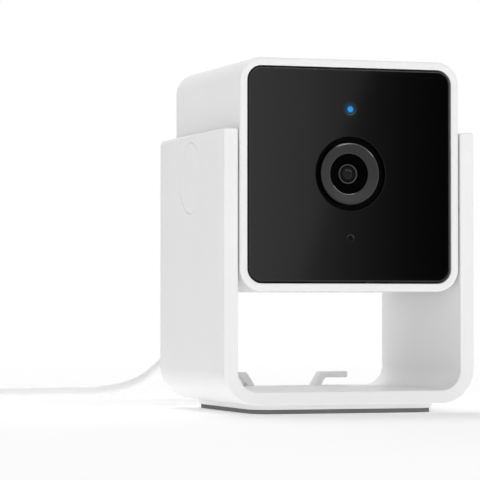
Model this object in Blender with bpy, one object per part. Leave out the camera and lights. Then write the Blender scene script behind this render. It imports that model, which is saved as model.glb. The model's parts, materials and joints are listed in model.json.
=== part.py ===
"""A small pet camera that tilts in a U-shaped stand, with its power lead.

Metres, +Z up. The glass front faces -Y, and +X is to the right of someone who looks at it.
The origin is on the floor under the middle of the stand. The camera's own pieces hang from an
empty on the tilt axis, and their depths are counted from its front face towards the rear.
"""

import math

import bmesh
import bpy
import numpy as np
from mathutils import Matrix, Vector

MM = 0.001

# Clearances and cutting
GAP = 0.3 * MM  # between pieces that touch
CUT_OVERRUN = 1.0 * MM  # a cutter runs this far past the face that it opens
SINK = 0.4 * MM  # a moulded-on shape starts this far inside the piece that carries it
SEAM = 0.2 * MM  # visible line round a cap or a cover
MERGE_DISTANCE = 0.002 * MM
SMOOTH_ANGLE = math.radians(35)
CORNER_STEPS = 4
EDGE_STEPS = 3
ROUND_SIDES = 28
SMALL_SIDES = 12
BUTTON_SIDES = 24
NUT_SIDES = 6
CURVE_SAMPLES = 40  # between two points of a lead's route
GAP_SAMPLES = 4  # along one diameter of the cord, when its gaps are measured
GAP_NEIGHBOURS = 4  # diameters of cord to either side that don't count as a gap

# Foot pad, base plate and what holds them
PAD_THICKNESS = 0.75 * MM
PAD_INSET = 8.4 * MM  # from a side of the stand to the pad
PAD_SETBACK = 2.9 * MM  # and from the stand's front or rear
PLATE_THICKNESS = 0.7 * MM
PLATE_MARGIN = 0.3 * MM  # the plate stands this far out past the pad
PLATE_FLARE = 0.4 * MM  # and its top edge this far out past its bottom edge
PLATE_CORNER = 5 * MM
BASE_SCREW_INSET = 7.1 * MM  # from the pad's front or rear edge
BASE_SCREW_HEAD = 3.6 * MM
BASE_SCREW_HEAD_HEIGHT = 0.6 * MM
BASE_SCREW_SHANK = 1.8 * MM
BASE_SCREW_REACH = 1.7 * MM  # into the stand's floor
MAGNET_DIAMETER = 12 * MM
MAGNET_THICKNESS = 1.4 * MM
MAGNET_INSET = 8.6 * MM  # from a side of the pad to the magnet's middle

# Stand
STAND_WIDTH = 60 * MM
STAND_DEPTH = 50 * MM
ARM_THICKNESS = 3.2 * MM
FLOOR_THICKNESS = 3.0 * MM
STAND_CORNER = 8 * MM
STAND_EDGE = 0.45 * MM
ARM_TIP_ROUNDING = 0.8 * MM
PIVOT_HEIGHT = 53.5 * MM
ARM_ABOVE_CAP = 1.9 * MM

# Cable hooks at the rear of the stand's floor
HOOK_FOOT = 7.2 * MM  # from the middle to the inner side of a hook's leg
HOOK_LEG = 2.0 * MM
HOOK_LEAN = 2.4 * MM
HOOK_HEIGHT = 3.3 * MM
HOOK_TONGUE = 1.45 * MM
HOOK_REACH = 16.2 * MM
HOOK_DEPTH = 3.6 * MM
HOOK_INSET = 1.2 * MM
HOOK_EDGE = 0.25 * MM

# Pivots, counted inwards from the outer face of an arm
CAP_DIAMETER = 16.4 * MM
CAP_THICKNESS = 0.9 * MM
CAP_EDGE = 0.25 * MM
PIVOT_HEAD_DIAMETER = 7 * MM
PIVOT_HEAD_THICKNESS = 0.7 * MM
PIVOT_SHANK = 3 * MM
WASHER_DIAMETER = 12 * MM
WASHER_THICKNESS = 0.5 * MM
BOSS_DIAMETER = 10 * MM
BOSS_LENGTH = 2.2 * MM
NUT_WIDTH = 5.5 * MM
NUT_THICKNESS = 2.4 * MM
PIVOT_TAIL = 0.3 * MM  # the shank past the nut

# Camera housing and rear cover
SIDE_GAP = 0.55 * MM
HEAD_HEIGHT = 52.2 * MM
HEAD_SETBACK = 0.4 * MM  # the camera's rear lies this far inside the stand's
HEAD_CORNER = 5.2 * MM
HEAD_EDGE = 0.5 * MM
RIM = 1.8 * MM
RIM_CHAMFER = 0.15 * MM
LEDGE_WIDTH = 1.5 * MM
LEDGE_THICKNESS = 1.2 * MM
COVER_THICKNESS = 2 * MM
COVER_RECESS = 0.2 * MM
COVER_SCREW_HEAD = 4.4 * MM
COVER_SCREW_HEAD_HEIGHT = 0.8 * MM
COVER_SCREW_SHANK = 2.2 * MM
COVER_SCREW_REACH = 7 * MM  # into the post
SCREW_SLOT_WIDTH = 0.6 * MM
SCREW_SLOT_DEPTH = 0.35 * MM
SCREW_CROSS = 2.6 * MM

# Glass front
GLASS_RECESS = 0.1 * MM
GLASS_THICKNESS = 1.6 * MM
GLASS_EDGE = 0.25 * MM
GASKET_THICKNESS = 0.4 * MM
GASKET_WIDTH = 1.3 * MM
LENS_HOLE = 16.8 * MM
LIGHT_HOLE = 2.4 * MM
MIC_HOLE = 1.3 * MM
LENS_RISE = 0.4 * MM  # the lens above the tilt axis
LIGHT_RISE = 14.5 * MM  # the light above the lens
MIC_DROP = 14.6 * MM  # the microphone below the lens

# Lens and its trim, counted back from the front face of the housing
TRIM_DIAMETER = 13.9 * MM
TRIM_OPENING = 9.1 * MM
TRIM_RECESS = 0.2 * MM
TRIM_DISH = 0.6 * MM
TRIM_LENGTH = 4.0 * MM
SEAL_WIDTH = 3 * MM
SEAL_THICKNESS = 0.9 * MM
BARREL_RECESS = 1.0 * MM
BARREL_DISH = 0.9 * MM
BARREL_THREAD = 8 * MM
BARREL_NECK = 5 * MM  # how deep the threaded part begins
BARREL_LENGTH = 9 * MM
BARREL_BORE = 2.6 * MM
SEAT_DEPTH = 0.5 * MM
RING_DIAMETER = 4.7 * MM
RING_WIDTH = 0.4 * MM
RING_THICKNESS = 0.4 * MM
LENS_BULGE = 0.55 * MM
LENS_BASE = 0.25 * MM

# Front board and what it carries
FRONT_BOARD_SPACE = 1.0 * MM  # between the ledge and the board
BOARD_THICKNESS = 0.8 * MM
FRONT_BOARD_SIDE = 2.95 * MM  # between the board and the housing's sides
FRONT_BOARD_ABOVE = 3 * MM  # and its top and bottom
BOARD_CORNER = 2 * MM
INFRARED_SIZE = 2.8 * MM
INFRARED_HEIGHT = 1.5 * MM
INFRARED_OFFSET = 11 * MM
INFRARED_EDGE = 0.28 * MM
STATUS_SIZE = 1.6 * MM
STATUS_DEPTH = 0.8 * MM
STATUS_HEIGHT = 0.8 * MM
MIC_WIDTH = 3.8 * MM
MIC_LENGTH = 3 * MM
MIC_HEIGHT = 1.1 * MM
BOOT_WALL = 1.5 * MM

# Lens holder, filter and sensor
HOLDER_SIZE = 15 * MM
HOLDER_CORNER = 1 * MM
HOLDER_SPACE = 0.3 * MM  # between the front board and the holder
HOLDER_LENGTH = 8.3 * MM
CHAMBER_SIZE = 11 * MM
CHAMBER_DEPTH = 3.7 * MM
FILTER_WIDTH = 9 * MM
FILTER_HEIGHT = 6.4 * MM
FILTER_THICKNESS = 0.8 * MM
FILTER_WINDOW = 4 * MM
FILTER_TRAVEL = 3.5 * MM
SENSOR_WIDTH = 7.2 * MM
SENSOR_HEIGHT = 6.2 * MM
SENSOR_THICKNESS = 0.9 * MM
SENSOR_BOARD_INSET = 0.5 * MM  # it is narrower than the main board by this on each side

# Inner frame, main board and what it carries
FRAME_THICKNESS = 1.6 * MM
FRAME_WINDOW = 18 * MM
POST_DIAMETER = 4.4 * MM
POST_INSET = 4.8 * MM  # from the housing's top or bottom wall to a post's middle
STUB_DIAMETER = 4 * MM
STUB_SIDE_INSET = 4 * MM  # from the main board's sides to a stub's middle
STUB_INSET = 3.5 * MM  # and from its top and bottom edges
STUB_FRONT = 1.1 * MM
STUB_REAR = 8 * MM
MAIN_BOARD_SIDE = 2.25 * MM  # between the board and the pivot screws
MAIN_BOARD_SPACE = 0.8 * MM  # between its top or bottom edge and the posts
MAIN_BOARD_THICKNESS = 1.2 * MM
PROCESSOR_SIZE = 12 * MM
PROCESSOR_THICKNESS = 1.2 * MM
SINK_SIZE = 18 * MM
SINK_BASE = 1.2 * MM
SINK_HEIGHT = 4.6 * MM
SINK_FINS = 5
SINK_FIN = 1.2 * MM
RADIO_WIDTH = 14 * MM
RADIO_HEIGHT = 10 * MM
RADIO_THICKNESS = 1.8 * MM
ANTENNA_WIDTH = 28 * MM
ANTENNA_LENGTH = 9 * MM
ANTENNA_THICKNESS = 0.4 * MM
ANTENNA_FROM_REAR = 14 * MM

# Port, button and speaker at the rear
PORT_DROP = 15 * MM  # the port below the tilt axis
SOCKET_WALL = 0.4 * MM
SOCKET_CORNER = 0.9 * MM
PORT_BOARD_THICKNESS = 1 * MM
PORT_BOARD_LEFT = 7 * MM
PORT_BOARD_MARGIN = 0.6 * MM  # to the right of the button's switch
PORT_BOARD_SPACE = 1.35 * MM  # between the board and a post
PORT_BOARD_DEPTH = 9 * MM
PORT_POCKET_DEPTH = 1 * MM
BUTTON_SPACE = 2.5 * MM  # between the lead's plug and the button
BUTTON_DIAMETER = 3 * MM
BUTTON_FLANGE = 4 * MM
BUTTON_FLANGE_THICKNESS = 0.8 * MM
BUTTON_TRAVEL = 0.4 * MM
SWITCH_WIDTH = 4.2 * MM
SWITCH_HEIGHT = 4 * MM
SWITCH_LENGTH = 3.2 * MM
SPEAKER_DIAMETER = 28 * MM
SPEAKER_DEPTH = 4.6 * MM
SPEAKER_ABOVE = 4.3 * MM  # between the speaker and the housing's top wall
SPEAKER_RIM = 1.6 * MM
SPEAKER_WALL = 0.8 * MM
CONE_THICKNESS = 0.4 * MM
CONE_HUB = 6 * MM
CONE_DEPTH = 1.8 * MM
SPEAKER_MAGNET = 13 * MM
SPEAKER_MAGNET_THICKNESS = 2.4 * MM
SOUND_HOLE = 1.7 * MM
SOUND_PITCH = 3.6 * MM
SOUND_RINGS = 2
SOUND_SIDES = 8

# Plugs
SHELL_WALL = 0.3 * MM
MICRO_SHELL_WIDTH = 6.9 * MM
MICRO_SHELL_HEIGHT = 1.8 * MM
MICRO_SHELL_LENGTH = 5 * MM
MICRO_BODY_WIDTH = 10.6 * MM
MICRO_BODY_HEIGHT = 7.6 * MM
MICRO_BODY_LENGTH = 12.5 * MM
MICRO_BODY_CORNER = 1.8 * MM
RELIEF_LENGTH = 7 * MM
RELIEF_START = 5.2 * MM
RELIEF_END = 4.2 * MM
RELIEF_RIBS = 4
RELIEF_GROOVE = 0.5 * MM
ROUND_SHARE = 0.46  # corner radius of a nearly round section, in diameters
LARGE_SHELL_WIDTH = 12 * MM
LARGE_SHELL_HEIGHT = 4.5 * MM
LARGE_SHELL_LENGTH = 18 * MM
LARGE_BODY_WIDTH = 15.6 * MM
LARGE_BODY_HEIGHT = 8 * MM
LARGE_BODY_LENGTH = 22 * MM
LARGE_BODY_CORNER = 2.4 * MM
PLUG_EDGE = 0.6 * MM

# Lead
CORD_DIAMETER = 2.8 * MM
CORD_STEP = 6.4 * MM
COIL_PITCH_SHARE = 1.31  # from one turn or layer to the next, in cord diameters
COIL_CENTRE = (-88 * MM, 65 * MM)
COIL_INNER_RADIUS = 10.5 * MM  # to the middle of the cord
COIL_LOOP_POINTS = 24
COIL_TURNS = (3.5, 3.5, 3.5, 3.25)  # of each layer, from the floor up
COIL_START = math.radians(90)
TIE_WIDTH = 6 * MM
TIE_THICKNESS = 0.9 * MM
TIE_ANGLE = math.radians(270)
LEAD_ROUTE = [
    (-1.6 * MM, 56.5 * MM, 34.6 * MM),
    (-5.4 * MM, 64 * MM, 25.8 * MM),
    (-10.2 * MM, 70.8 * MM, 15.6 * MM),
    (-15.2 * MM, 77 * MM, 7.7 * MM),
    (-20.4 * MM, 82.4 * MM, 3.5 * MM),
    (-28 * MM, 86.4 * MM, 1.8 * MM),
    (-38.5 * MM, 87.8 * MM, 1.55 * MM),
    (-54 * MM, 88.2 * MM, 1.45 * MM),
    (-70 * MM, 88.3 * MM, 2.1 * MM),
]
TAIL_ROUTE = [
    (-110.2 * MM, 54 * MM, 12.4 * MM),
    (-111 * MM, 46 * MM, 9 * MM),
    (-111.6 * MM, 39 * MM, 5.8 * MM),
    (-111.8 * MM, 33 * MM, 4.4 * MM),
]
LARGE_PLUG_X = -111.8 * MM
LARGE_PLUG_END = 24.6 * MM  # Y of the rear end of its strain relief

# Heights that follow from the base upwards
PLATE_BOTTOM = PAD_THICKNESS + GAP
PLATE_TOP = PLATE_BOTTOM + PLATE_THICKNESS
FLOOR_BOTTOM = PLATE_TOP + GAP
FLOOR_TOP = FLOOR_BOTTOM + FLOOR_THICKNESS
ARM_TOP = PIVOT_HEIGHT + CAP_DIAMETER / 2 + ARM_ABOVE_CAP
ARM_INNER = STAND_WIDTH / 2 - ARM_THICKNESS
PAD_WIDTH = STAND_WIDTH - 2 * PAD_INSET
PAD_DEPTH = STAND_DEPTH - 2 * PAD_SETBACK
BASE_SCREW_SPREAD = PAD_DEPTH - 2 * BASE_SCREW_INSET
MAGNET_SPREAD = PAD_WIDTH - 2 * MAGNET_INSET

# The camera's outline and hollow
HEAD_WIDTH = 2 * (ARM_INNER - SIDE_GAP)
HEAD_DEPTH = STAND_DEPTH - HEAD_SETBACK
HEAD_FRONT = -STAND_DEPTH / 2
OPENING_WIDTH = HEAD_WIDTH - 2 * RIM
OPENING_HEIGHT = HEAD_HEIGHT - 2 * RIM
OPENING_CORNER = HEAD_CORNER - RIM
LENS_Z = LENS_RISE
LIGHT_Z = LENS_Z + LIGHT_RISE
MIC_Z = LENS_Z - MIC_DROP
PORT_Z = -PORT_DROP
SPEAKER_RISE = OPENING_HEIGHT / 2 - SPEAKER_ABOVE - SPEAKER_DIAMETER / 2
FRONT_BOARD_WIDTH = OPENING_WIDTH - 2 * FRONT_BOARD_SIDE
FRONT_BOARD_HEIGHT = OPENING_HEIGHT - 2 * FRONT_BOARD_ABOVE

# Depths behind the camera's front face
GLASS_BACK = GLASS_RECESS + GLASS_THICKNESS
GASKET_FRONT = GLASS_BACK + GAP
LEDGE_FRONT = GASKET_FRONT + GASKET_THICKNESS + GAP
LEDGE_BACK = LEDGE_FRONT + LEDGE_THICKNESS
FRONT_BOARD = LEDGE_BACK + FRONT_BOARD_SPACE
FRONT_BOARD_BACK = FRONT_BOARD + BOARD_THICKNESS
HOLDER_FRONT = FRONT_BOARD_BACK + HOLDER_SPACE
HOLDER_BACK = HOLDER_FRONT + HOLDER_LENGTH
SENSOR_BOARD = HOLDER_BACK + GAP
SENSOR_BOARD_BACK = SENSOR_BOARD + BOARD_THICKNESS
FRAME_FRONT = SENSOR_BOARD_BACK + GAP + STUB_FRONT
FRAME_BACK = FRAME_FRONT + FRAME_THICKNESS
MAIN_BOARD = FRAME_BACK + STUB_REAR + GAP
COVER_BACK = HEAD_DEPTH - COVER_RECESS
COVER_FRONT = COVER_BACK - COVER_THICKNESS
POCKET_FLOOR = COVER_BACK - PORT_POCKET_DEPTH
SOCKET_WIDTH = MICRO_SHELL_WIDTH + 2 * (GAP + SOCKET_WALL)
SOCKET_HEIGHT = MICRO_SHELL_HEIGHT + 2 * (GAP + SOCKET_WALL)
PORT_BOARD_TOP = PORT_Z - SOCKET_HEIGHT / 2 - GAP
BUTTON_Z = PORT_BOARD_TOP + GAP + max(SWITCH_HEIGHT, BUTTON_FLANGE) / 2
SOCKET_REAR = COVER_FRONT - GAP
SOCKET_FRONT = POCKET_FLOOR - MICRO_SHELL_LENGTH - GAP - SOCKET_WALL
FLANGE_FRONT = COVER_FRONT - GAP - BUTTON_FLANGE_THICKNESS
SPEAKER_FRONT = COVER_FRONT - GAP - SPEAKER_DEPTH
MICRO_BODY = POCKET_FLOOR + GAP
LEAD_START = HEAD_FRONT + MICRO_BODY + MICRO_BODY_LENGTH + RELIEF_LENGTH + GAP

# The coil and its tie
COIL_PITCH = CORD_DIAMETER * COIL_PITCH_SHARE
COIL_OUTER_RADIUS = COIL_INNER_RADIUS + COIL_TURNS[0] * COIL_PITCH
COIL_BASE = TIE_THICKNESS + GAP + CORD_DIAMETER / 2
LARGE_PLUG_Z = LARGE_BODY_HEIGHT / 2 + SEAM / 2

# Pivot stations, inwards from the outer face of an arm
CAP_SEAT = CAP_THICKNESS + GAP
PIVOT_SEAT = CAP_SEAT + PIVOT_HEAD_THICKNESS + GAP
HEAD_SIDE = ARM_THICKNESS + SIDE_GAP
WASHER_OUTER = ARM_THICKNESS + GAP
WASHER_POCKET = WASHER_OUTER + WASHER_THICKNESS + GAP - HEAD_SIDE
BOSS_END = HEAD_SIDE + RIM + BOSS_LENGTH
NUT_START = BOSS_END + GAP
PIVOT_END = NUT_START + NUT_THICKNESS + PIVOT_TAIL

# Across the camera: the button, the port's board, the posts and the boards between them
BUTTON_OFFSET = MICRO_BODY_WIDTH / 2 + BUTTON_SPACE + BUTTON_DIAMETER / 2
PORT_BOARD_RIGHT = BUTTON_OFFSET + SWITCH_WIDTH / 2 + PORT_BOARD_MARGIN
POST_X = PORT_BOARD_RIGHT + PORT_BOARD_SPACE + POST_DIAMETER / 2
POST_RISE = OPENING_HEIGHT / 2 - POST_INSET
FRAME_WIDTH = 2 * (POST_X + POST_DIAMETER / 2 + GAP)
MAIN_BOARD_WIDTH = STAND_WIDTH - 2 * (PIVOT_END + MAIN_BOARD_SIDE)
MAIN_BOARD_HEIGHT = 2 * (POST_RISE - POST_DIAMETER / 2 - MAIN_BOARD_SPACE)
SENSOR_BOARD_WIDTH = MAIN_BOARD_WIDTH - 2 * SENSOR_BOARD_INSET
STUB_X = MAIN_BOARD_WIDTH / 2 - STUB_SIDE_INSET
STUB_RISE = MAIN_BOARD_HEIGHT / 2 - STUB_INSET

SIDES = ((-1, "left"), (1, "right"))
TO_FRONT = (math.pi / 2, 0, 0)  # a piece's own Z points to the front, its Y upwards
TO_REAR = (-math.pi / 2, 0, 0)  # its Z to the rear, its Y downwards
HALF_TURN = (0, 0, math.pi)

FINISHES = {  # sRGB colour, roughness, metallic
    "white_plastic": ("f1f1f2", 0.42, 0.0),
    "housing_plastic": ("f3f3f4", 0.38, 0.0),
    "black_glass": ("0b0b0d", 0.08, 0.0),
    "trim_plastic": ("3a3a3c", 0.45, 0.0),
    "black_plastic": ("121214", 0.5, 0.0),
    "black_rubber": ("242426", 0.8, 0.0),
    "grey_rubber": ("58595b", 0.8, 0.0),
    "brushed_metal": ("c9c9cb", 0.3, 1.0),
    "dark_metal": ("6f7074", 0.35, 1.0),
    "lens_glass": ("1a1d26", 0.03, 0.0),
    "blue_light": ("2ea6ff", 0.2, 0.0),
    "circuit_board": ("12402a", 0.5, 0.0),
    "black_board": ("15181a", 0.5, 0.0),
    "chip_black": ("1b1b1d", 0.55, 0.0),
    "tin_shield": ("b9bbbd", 0.35, 1.0),
    "amber_film": ("b87333", 0.4, 0.3),
    "paper_cone": ("2b2b2b", 0.9, 0.0),
    "cord_jacket": ("f0f0f0", 0.5, 0.0),
}


def clear_scene():
    for item in list(bpy.data.objects):
        bpy.data.objects.remove(item, do_unlink=True)


def linear(channel):
    """One sRGB channel, 0 to 1, as linear light."""
    return channel / 12.92 if channel <= 0.04045 else ((channel + 0.055) / 1.055) ** 2.4


def material(finish):
    made = bpy.data.materials.get(finish)
    if made:
        return made
    code, roughness, metallic = FINISHES[finish]
    colour = [linear(int(code[i : i + 2], 16) / 255) for i in (0, 2, 4)]
    made = bpy.data.materials.new(finish)
    made.use_nodes = True
    made.diffuse_color = (*colour, 1)
    shader = made.node_tree.nodes["Principled BSDF"]
    shader.inputs["Base Color"].default_value = (*colour, 1)
    shader.inputs["Roughness"].default_value = roughness
    shader.inputs["Metallic"].default_value = metallic
    return made


def empty_at(name, place):
    made = bpy.data.objects.new(name, None)
    made.location = place
    bpy.context.scene.collection.objects.link(made)
    return made


def add_piece(name, bm, finish, parent=None, place=(0, 0, 0), turn=(0, 0, 0)):
    """Makes an object of the mesh, which is built round the piece's own origin."""
    bmesh.ops.recalc_face_normals(bm, faces=bm.faces)
    mesh = bpy.data.meshes.new(name)
    bm.to_mesh(mesh)
    bm.free()
    mesh.shade_smooth()
    mesh.set_sharp_from_angle(angle=SMOOTH_ANGLE)
    made = bpy.data.objects.new(name, mesh)
    made.location = place
    made.rotation_euler = turn
    made.parent = parent
    made.data.materials.append(material(finish))
    bpy.context.scene.collection.objects.link(made)
    return made


def shape_with(target, operation, name, bm, place=(0, 0, 0), turn=(0, 0, 0)):
    """Cuts the mesh from the target or moulds it on, and hides the helper."""
    helper = add_piece(name, bm, "grey_rubber", target.parent, place, turn)
    helper.hide_render = True
    helper.display_type = "WIRE"
    modifier = target.modifiers.new(name, "BOOLEAN")
    modifier.operation = operation
    modifier.object = helper
    return helper


def round_edges(target, width, steps=2):
    modifier = target.modifiers.new("rounded_edges", "BEVEL")
    modifier.width = width
    modifier.segments = steps
    modifier.limit_method = "ANGLE"
    modifier.angle_limit = SMOOTH_ANGLE


def arc(centre, radius, start, end, steps=CORNER_STEPS):
    """Points on an arc, both ends included; the angles are in quarter turns."""
    angles = [(start + (end - start) * i / steps) * math.pi / 2 for i in range(steps + 1)]
    return [(centre[0] + radius * math.cos(a), centre[1] + radius * math.sin(a)) for a in angles]


def rounded(width, height, corner, steps=CORNER_STEPS):
    """The outline of a rounded rectangle round (0, 0)."""
    points = []
    for quarter, (across, up) in enumerate(((1, 1), (-1, 1), (-1, -1), (1, -1))):
        centre = (across * (width / 2 - corner), up * (height / 2 - corner))
        points += arc(centre, corner, quarter, quarter + 1, steps)
    return points


def at_height(outline, height):
    return [Vector((u, v, height)) for u, v in outline]


def skin(bm, loops, ring):
    """Joins loops of equal count with quads; a ring closes on itself, a rod gets end faces."""
    rows = [[bm.verts.new(point) for point in loop] for loop in loops]
    pairs = list(zip(rows, rows[1:]))
    if ring:
        pairs.append((rows[-1], rows[0]))
    else:
        bm.faces.new(rows[0])
        bm.faces.new(rows[-1])
    for low, high in pairs:
        for i in range(len(low)):
            j = (i + 1) % len(low)
            bm.faces.new((low[i], low[j], high[j], high[i]))


def lofted(loops, ring=False):
    bm = bmesh.new()
    skin(bm, loops, ring)
    return bm


def slab(outlines, thickness):
    """Flat outlines raised by the thickness, side by side in one mesh."""
    bm = bmesh.new()
    for outline in outlines:
        face = bm.faces.new([bm.verts.new((u, v, 0)) for u, v in outline])
        raised = bmesh.ops.extrude_face_region(bm, geom=[face])
        moved = [item for item in raised["geom"] if isinstance(item, bmesh.types.BMVert)]
        bmesh.ops.translate(bm, verts=moved, vec=(0, 0, thickness))
    return bm


def frame_slab(outer, inner, thickness):
    """A flat frame between two outlines of equal count."""
    return lofted(
        [at_height(outer, 0), at_height(outer, thickness), at_height(inner, thickness), at_height(inner, 0)],
        ring=True,
    )


def turned(profile, sides=ROUND_SIDES):
    """A closed profile of (radius, height) points spun round Z; points on the axis are merged."""
    bm = bmesh.new()
    corners = [bm.verts.new((radius, 0, height)) for radius, height in profile]
    pairs = zip(corners, corners[1:] + corners[:1])
    edges = [bm.edges.new(pair) for pair in pairs if any(v.co.x for v in pair)]
    full, up = 2 * math.pi, (0, 0, 1)
    bmesh.ops.spin(
        bm, geom=corners + edges, cent=(0, 0, 0), axis=up, angle=full, steps=sides, use_merge=True
    )
    on_axis = [v for v in bm.verts if math.hypot(v.co.x, v.co.y) < MERGE_DISTANCE]
    bmesh.ops.remove_doubles(bm, verts=on_axis, dist=MERGE_DISTANCE)
    return bm


def disc(radius, thickness, sides=ROUND_SIDES):
    return turned([(0, 0), (radius, 0), (radius, thickness), (0, thickness)], sides)


def washer(outer, inner, thickness, sides=ROUND_SIDES):
    return turned([(inner, 0), (outer, 0), (outer, thickness), (inner, thickness)], sides)


def discs(places, radius, thickness, sides=SMALL_SIDES):
    """Equal discs at (x, y) places in one mesh, for holes or posts."""
    outline = arc((0, 0), radius, 0, 4, sides)[:-1]
    return slab([[(x + u, y + v) for u, v in outline] for x, y in places], thickness)


def hexagon(width):
    """A hexagon this wide across its flats, as its corners and the middles of its sides."""
    reach = (width / math.sqrt(3), width / 2)
    turns = [math.pi / NUT_SIDES * i for i in range(2 * NUT_SIDES)]
    return [(reach[i % 2] * math.cos(a), reach[i % 2] * math.sin(a)) for i, a in enumerate(turns)]


def cup(width, height, corner, wall, length):
    """A thin box that is closed at its own Z of 0 and open at its full length."""
    def loop(inset, up):
        return at_height(rounded(width - 2 * inset, height - 2 * inset, corner - inset), up)

    return lofted([loop(wall, wall), loop(wall, length), loop(0, length), loop(0, 0)])


def behind(depth):
    """Y of a place this far behind the camera's front face."""
    return HEAD_FRONT + depth


def corners_at(x, z):
    return [(sx * x, sz * z) for sx in (-1, 1) for sz in (-1, 1)]


def outline_of_stand():
    """The U seen from the front, as (x, z) points."""
    tip, inner = ARM_TIP_ROUNDING, STAND_CORNER - ARM_THICKNESS
    half, inside = STAND_WIDTH / 2, ARM_INNER
    low, top = FLOOR_BOTTOM + STAND_CORNER, ARM_TOP - tip
    points = arc((half - tip, top), tip, 0, 1, EDGE_STEPS)
    points += arc((inside + tip, top), tip, 1, 2, EDGE_STEPS)
    points += arc((inside - inner, FLOOR_TOP + inner), inner, 0, -1)
    points += arc((inner - inside, FLOOR_TOP + inner), inner, -1, -2)
    points += arc((-inside - tip, top), tip, 0, 1, EDGE_STEPS)
    points += arc((tip - half, top), tip, 1, 2, EDGE_STEPS)
    points += arc((STAND_CORNER - half, low), STAND_CORNER, 2, 3, CORNER_STEPS + 2)
    points += arc((half - STAND_CORNER, low), STAND_CORNER, 3, 4, CORNER_STEPS + 2)
    return points


def outline_of_hook(side):
    """One cable hook seen from the front, with its tongue outwards, as (x, z) points."""
    rise = HOOK_HEIGHT - HOOK_TONGUE
    points = [
        (HOOK_FOOT, -SINK),
        (HOOK_FOOT + HOOK_LEG, -SINK),
        (HOOK_FOOT + HOOK_LEG + HOOK_LEAN * rise / HOOK_HEIGHT, rise),
        (HOOK_REACH, rise),
        (HOOK_REACH, HOOK_HEIGHT),
        (HOOK_FOOT + HOOK_LEAN, HOOK_HEIGHT),
    ]
    return [(side * x, FLOOR_TOP + z) for x, z in points]


def inwards(side):
    """Place and rotation of a piece on the tilt axis whose own Z runs in from an arm's outer face."""
    return (side * STAND_WIDTH / 2, 0, PIVOT_HEIGHT), (0, -side * math.pi / 2, 0)


def at_both_pivots(profile):
    """A turned shape at each end of the tilt axis in one mesh, its heights inwards from the arms."""
    bm = turned(profile)
    bmesh.ops.rotate(bm, verts=bm.verts, cent=(0, 0, 0), matrix=Matrix.Rotation(-math.pi / 2, 3, "Y"))
    bmesh.ops.translate(bm, verts=bm.verts, vec=(STAND_WIDTH / 2, 0, 0))
    copied = bmesh.ops.duplicate(bm, geom=bm.verts[:] + bm.edges[:] + bm.faces[:])
    corners = [item for item in copied["geom"] if isinstance(item, bmesh.types.BMVert)]
    bmesh.ops.scale(bm, verts=corners, vec=(-1, 1, 1))
    return bm


def pivot_holes():
    """What the arms lose: each cap's recess, its screw head's seat and the shank's bore."""
    cap, head, bore = CAP_DIAMETER / 2 + SEAM, PIVOT_HEAD_DIAMETER / 2 + GAP, PIVOT_SHANK / 2 + GAP
    through = ARM_THICKNESS + CUT_OVERRUN
    profile = [(0, -CUT_OVERRUN), (cap, -CUT_OVERRUN), (cap, CAP_SEAT), (head, CAP_SEAT)]
    profile += [(head, PIVOT_SEAT), (bore, PIVOT_SEAT), (bore, through), (0, through)]
    return at_both_pivots(profile)


def base_screw_places():
    return [(0, way * BASE_SCREW_SPREAD / 2) for way in (-1, 1)]


def magnet_places():
    return [(way * MAGNET_SPREAD / 2, 0) for way in (-1, 1)]


def build_stand():
    body = slab([outline_of_stand()], STAND_DEPTH)
    place = (0, STAND_DEPTH / 2, 0)
    stand = add_piece("stand_frame", body, "white_plastic", None, place, TO_FRONT)
    round_edges(stand, STAND_EDGE)
    place = (0, STAND_DEPTH / 2 - HOOK_INSET, 0)
    for side, label in SIDES:
        hook = slab([outline_of_hook(side)], HOOK_DEPTH)
        round_edges(shape_with(stand, "UNION", f"hook_{label}", hook, place, TO_FRONT), HOOK_EDGE)
    shape_with(stand, "DIFFERENCE", "pivot_holes", pivot_holes(), (0, 0, PIVOT_HEIGHT))
    under = (0, 0, FLOOR_BOTTOM - CUT_OVERRUN)
    pocket = MAGNET_THICKNESS + 2 * GAP + CUT_OVERRUN
    magnets = discs(magnet_places(), MAGNET_DIAMETER / 2 + GAP, pocket, ROUND_SIDES)
    shape_with(stand, "DIFFERENCE", "magnet_pockets", magnets, under)
    pilot = BASE_SCREW_REACH + GAP + CUT_OVERRUN
    screws = discs(base_screw_places(), BASE_SCREW_SHANK / 2 + GAP, pilot)
    shape_with(stand, "DIFFERENCE", "base_screw_pilots", screws, under)


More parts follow.
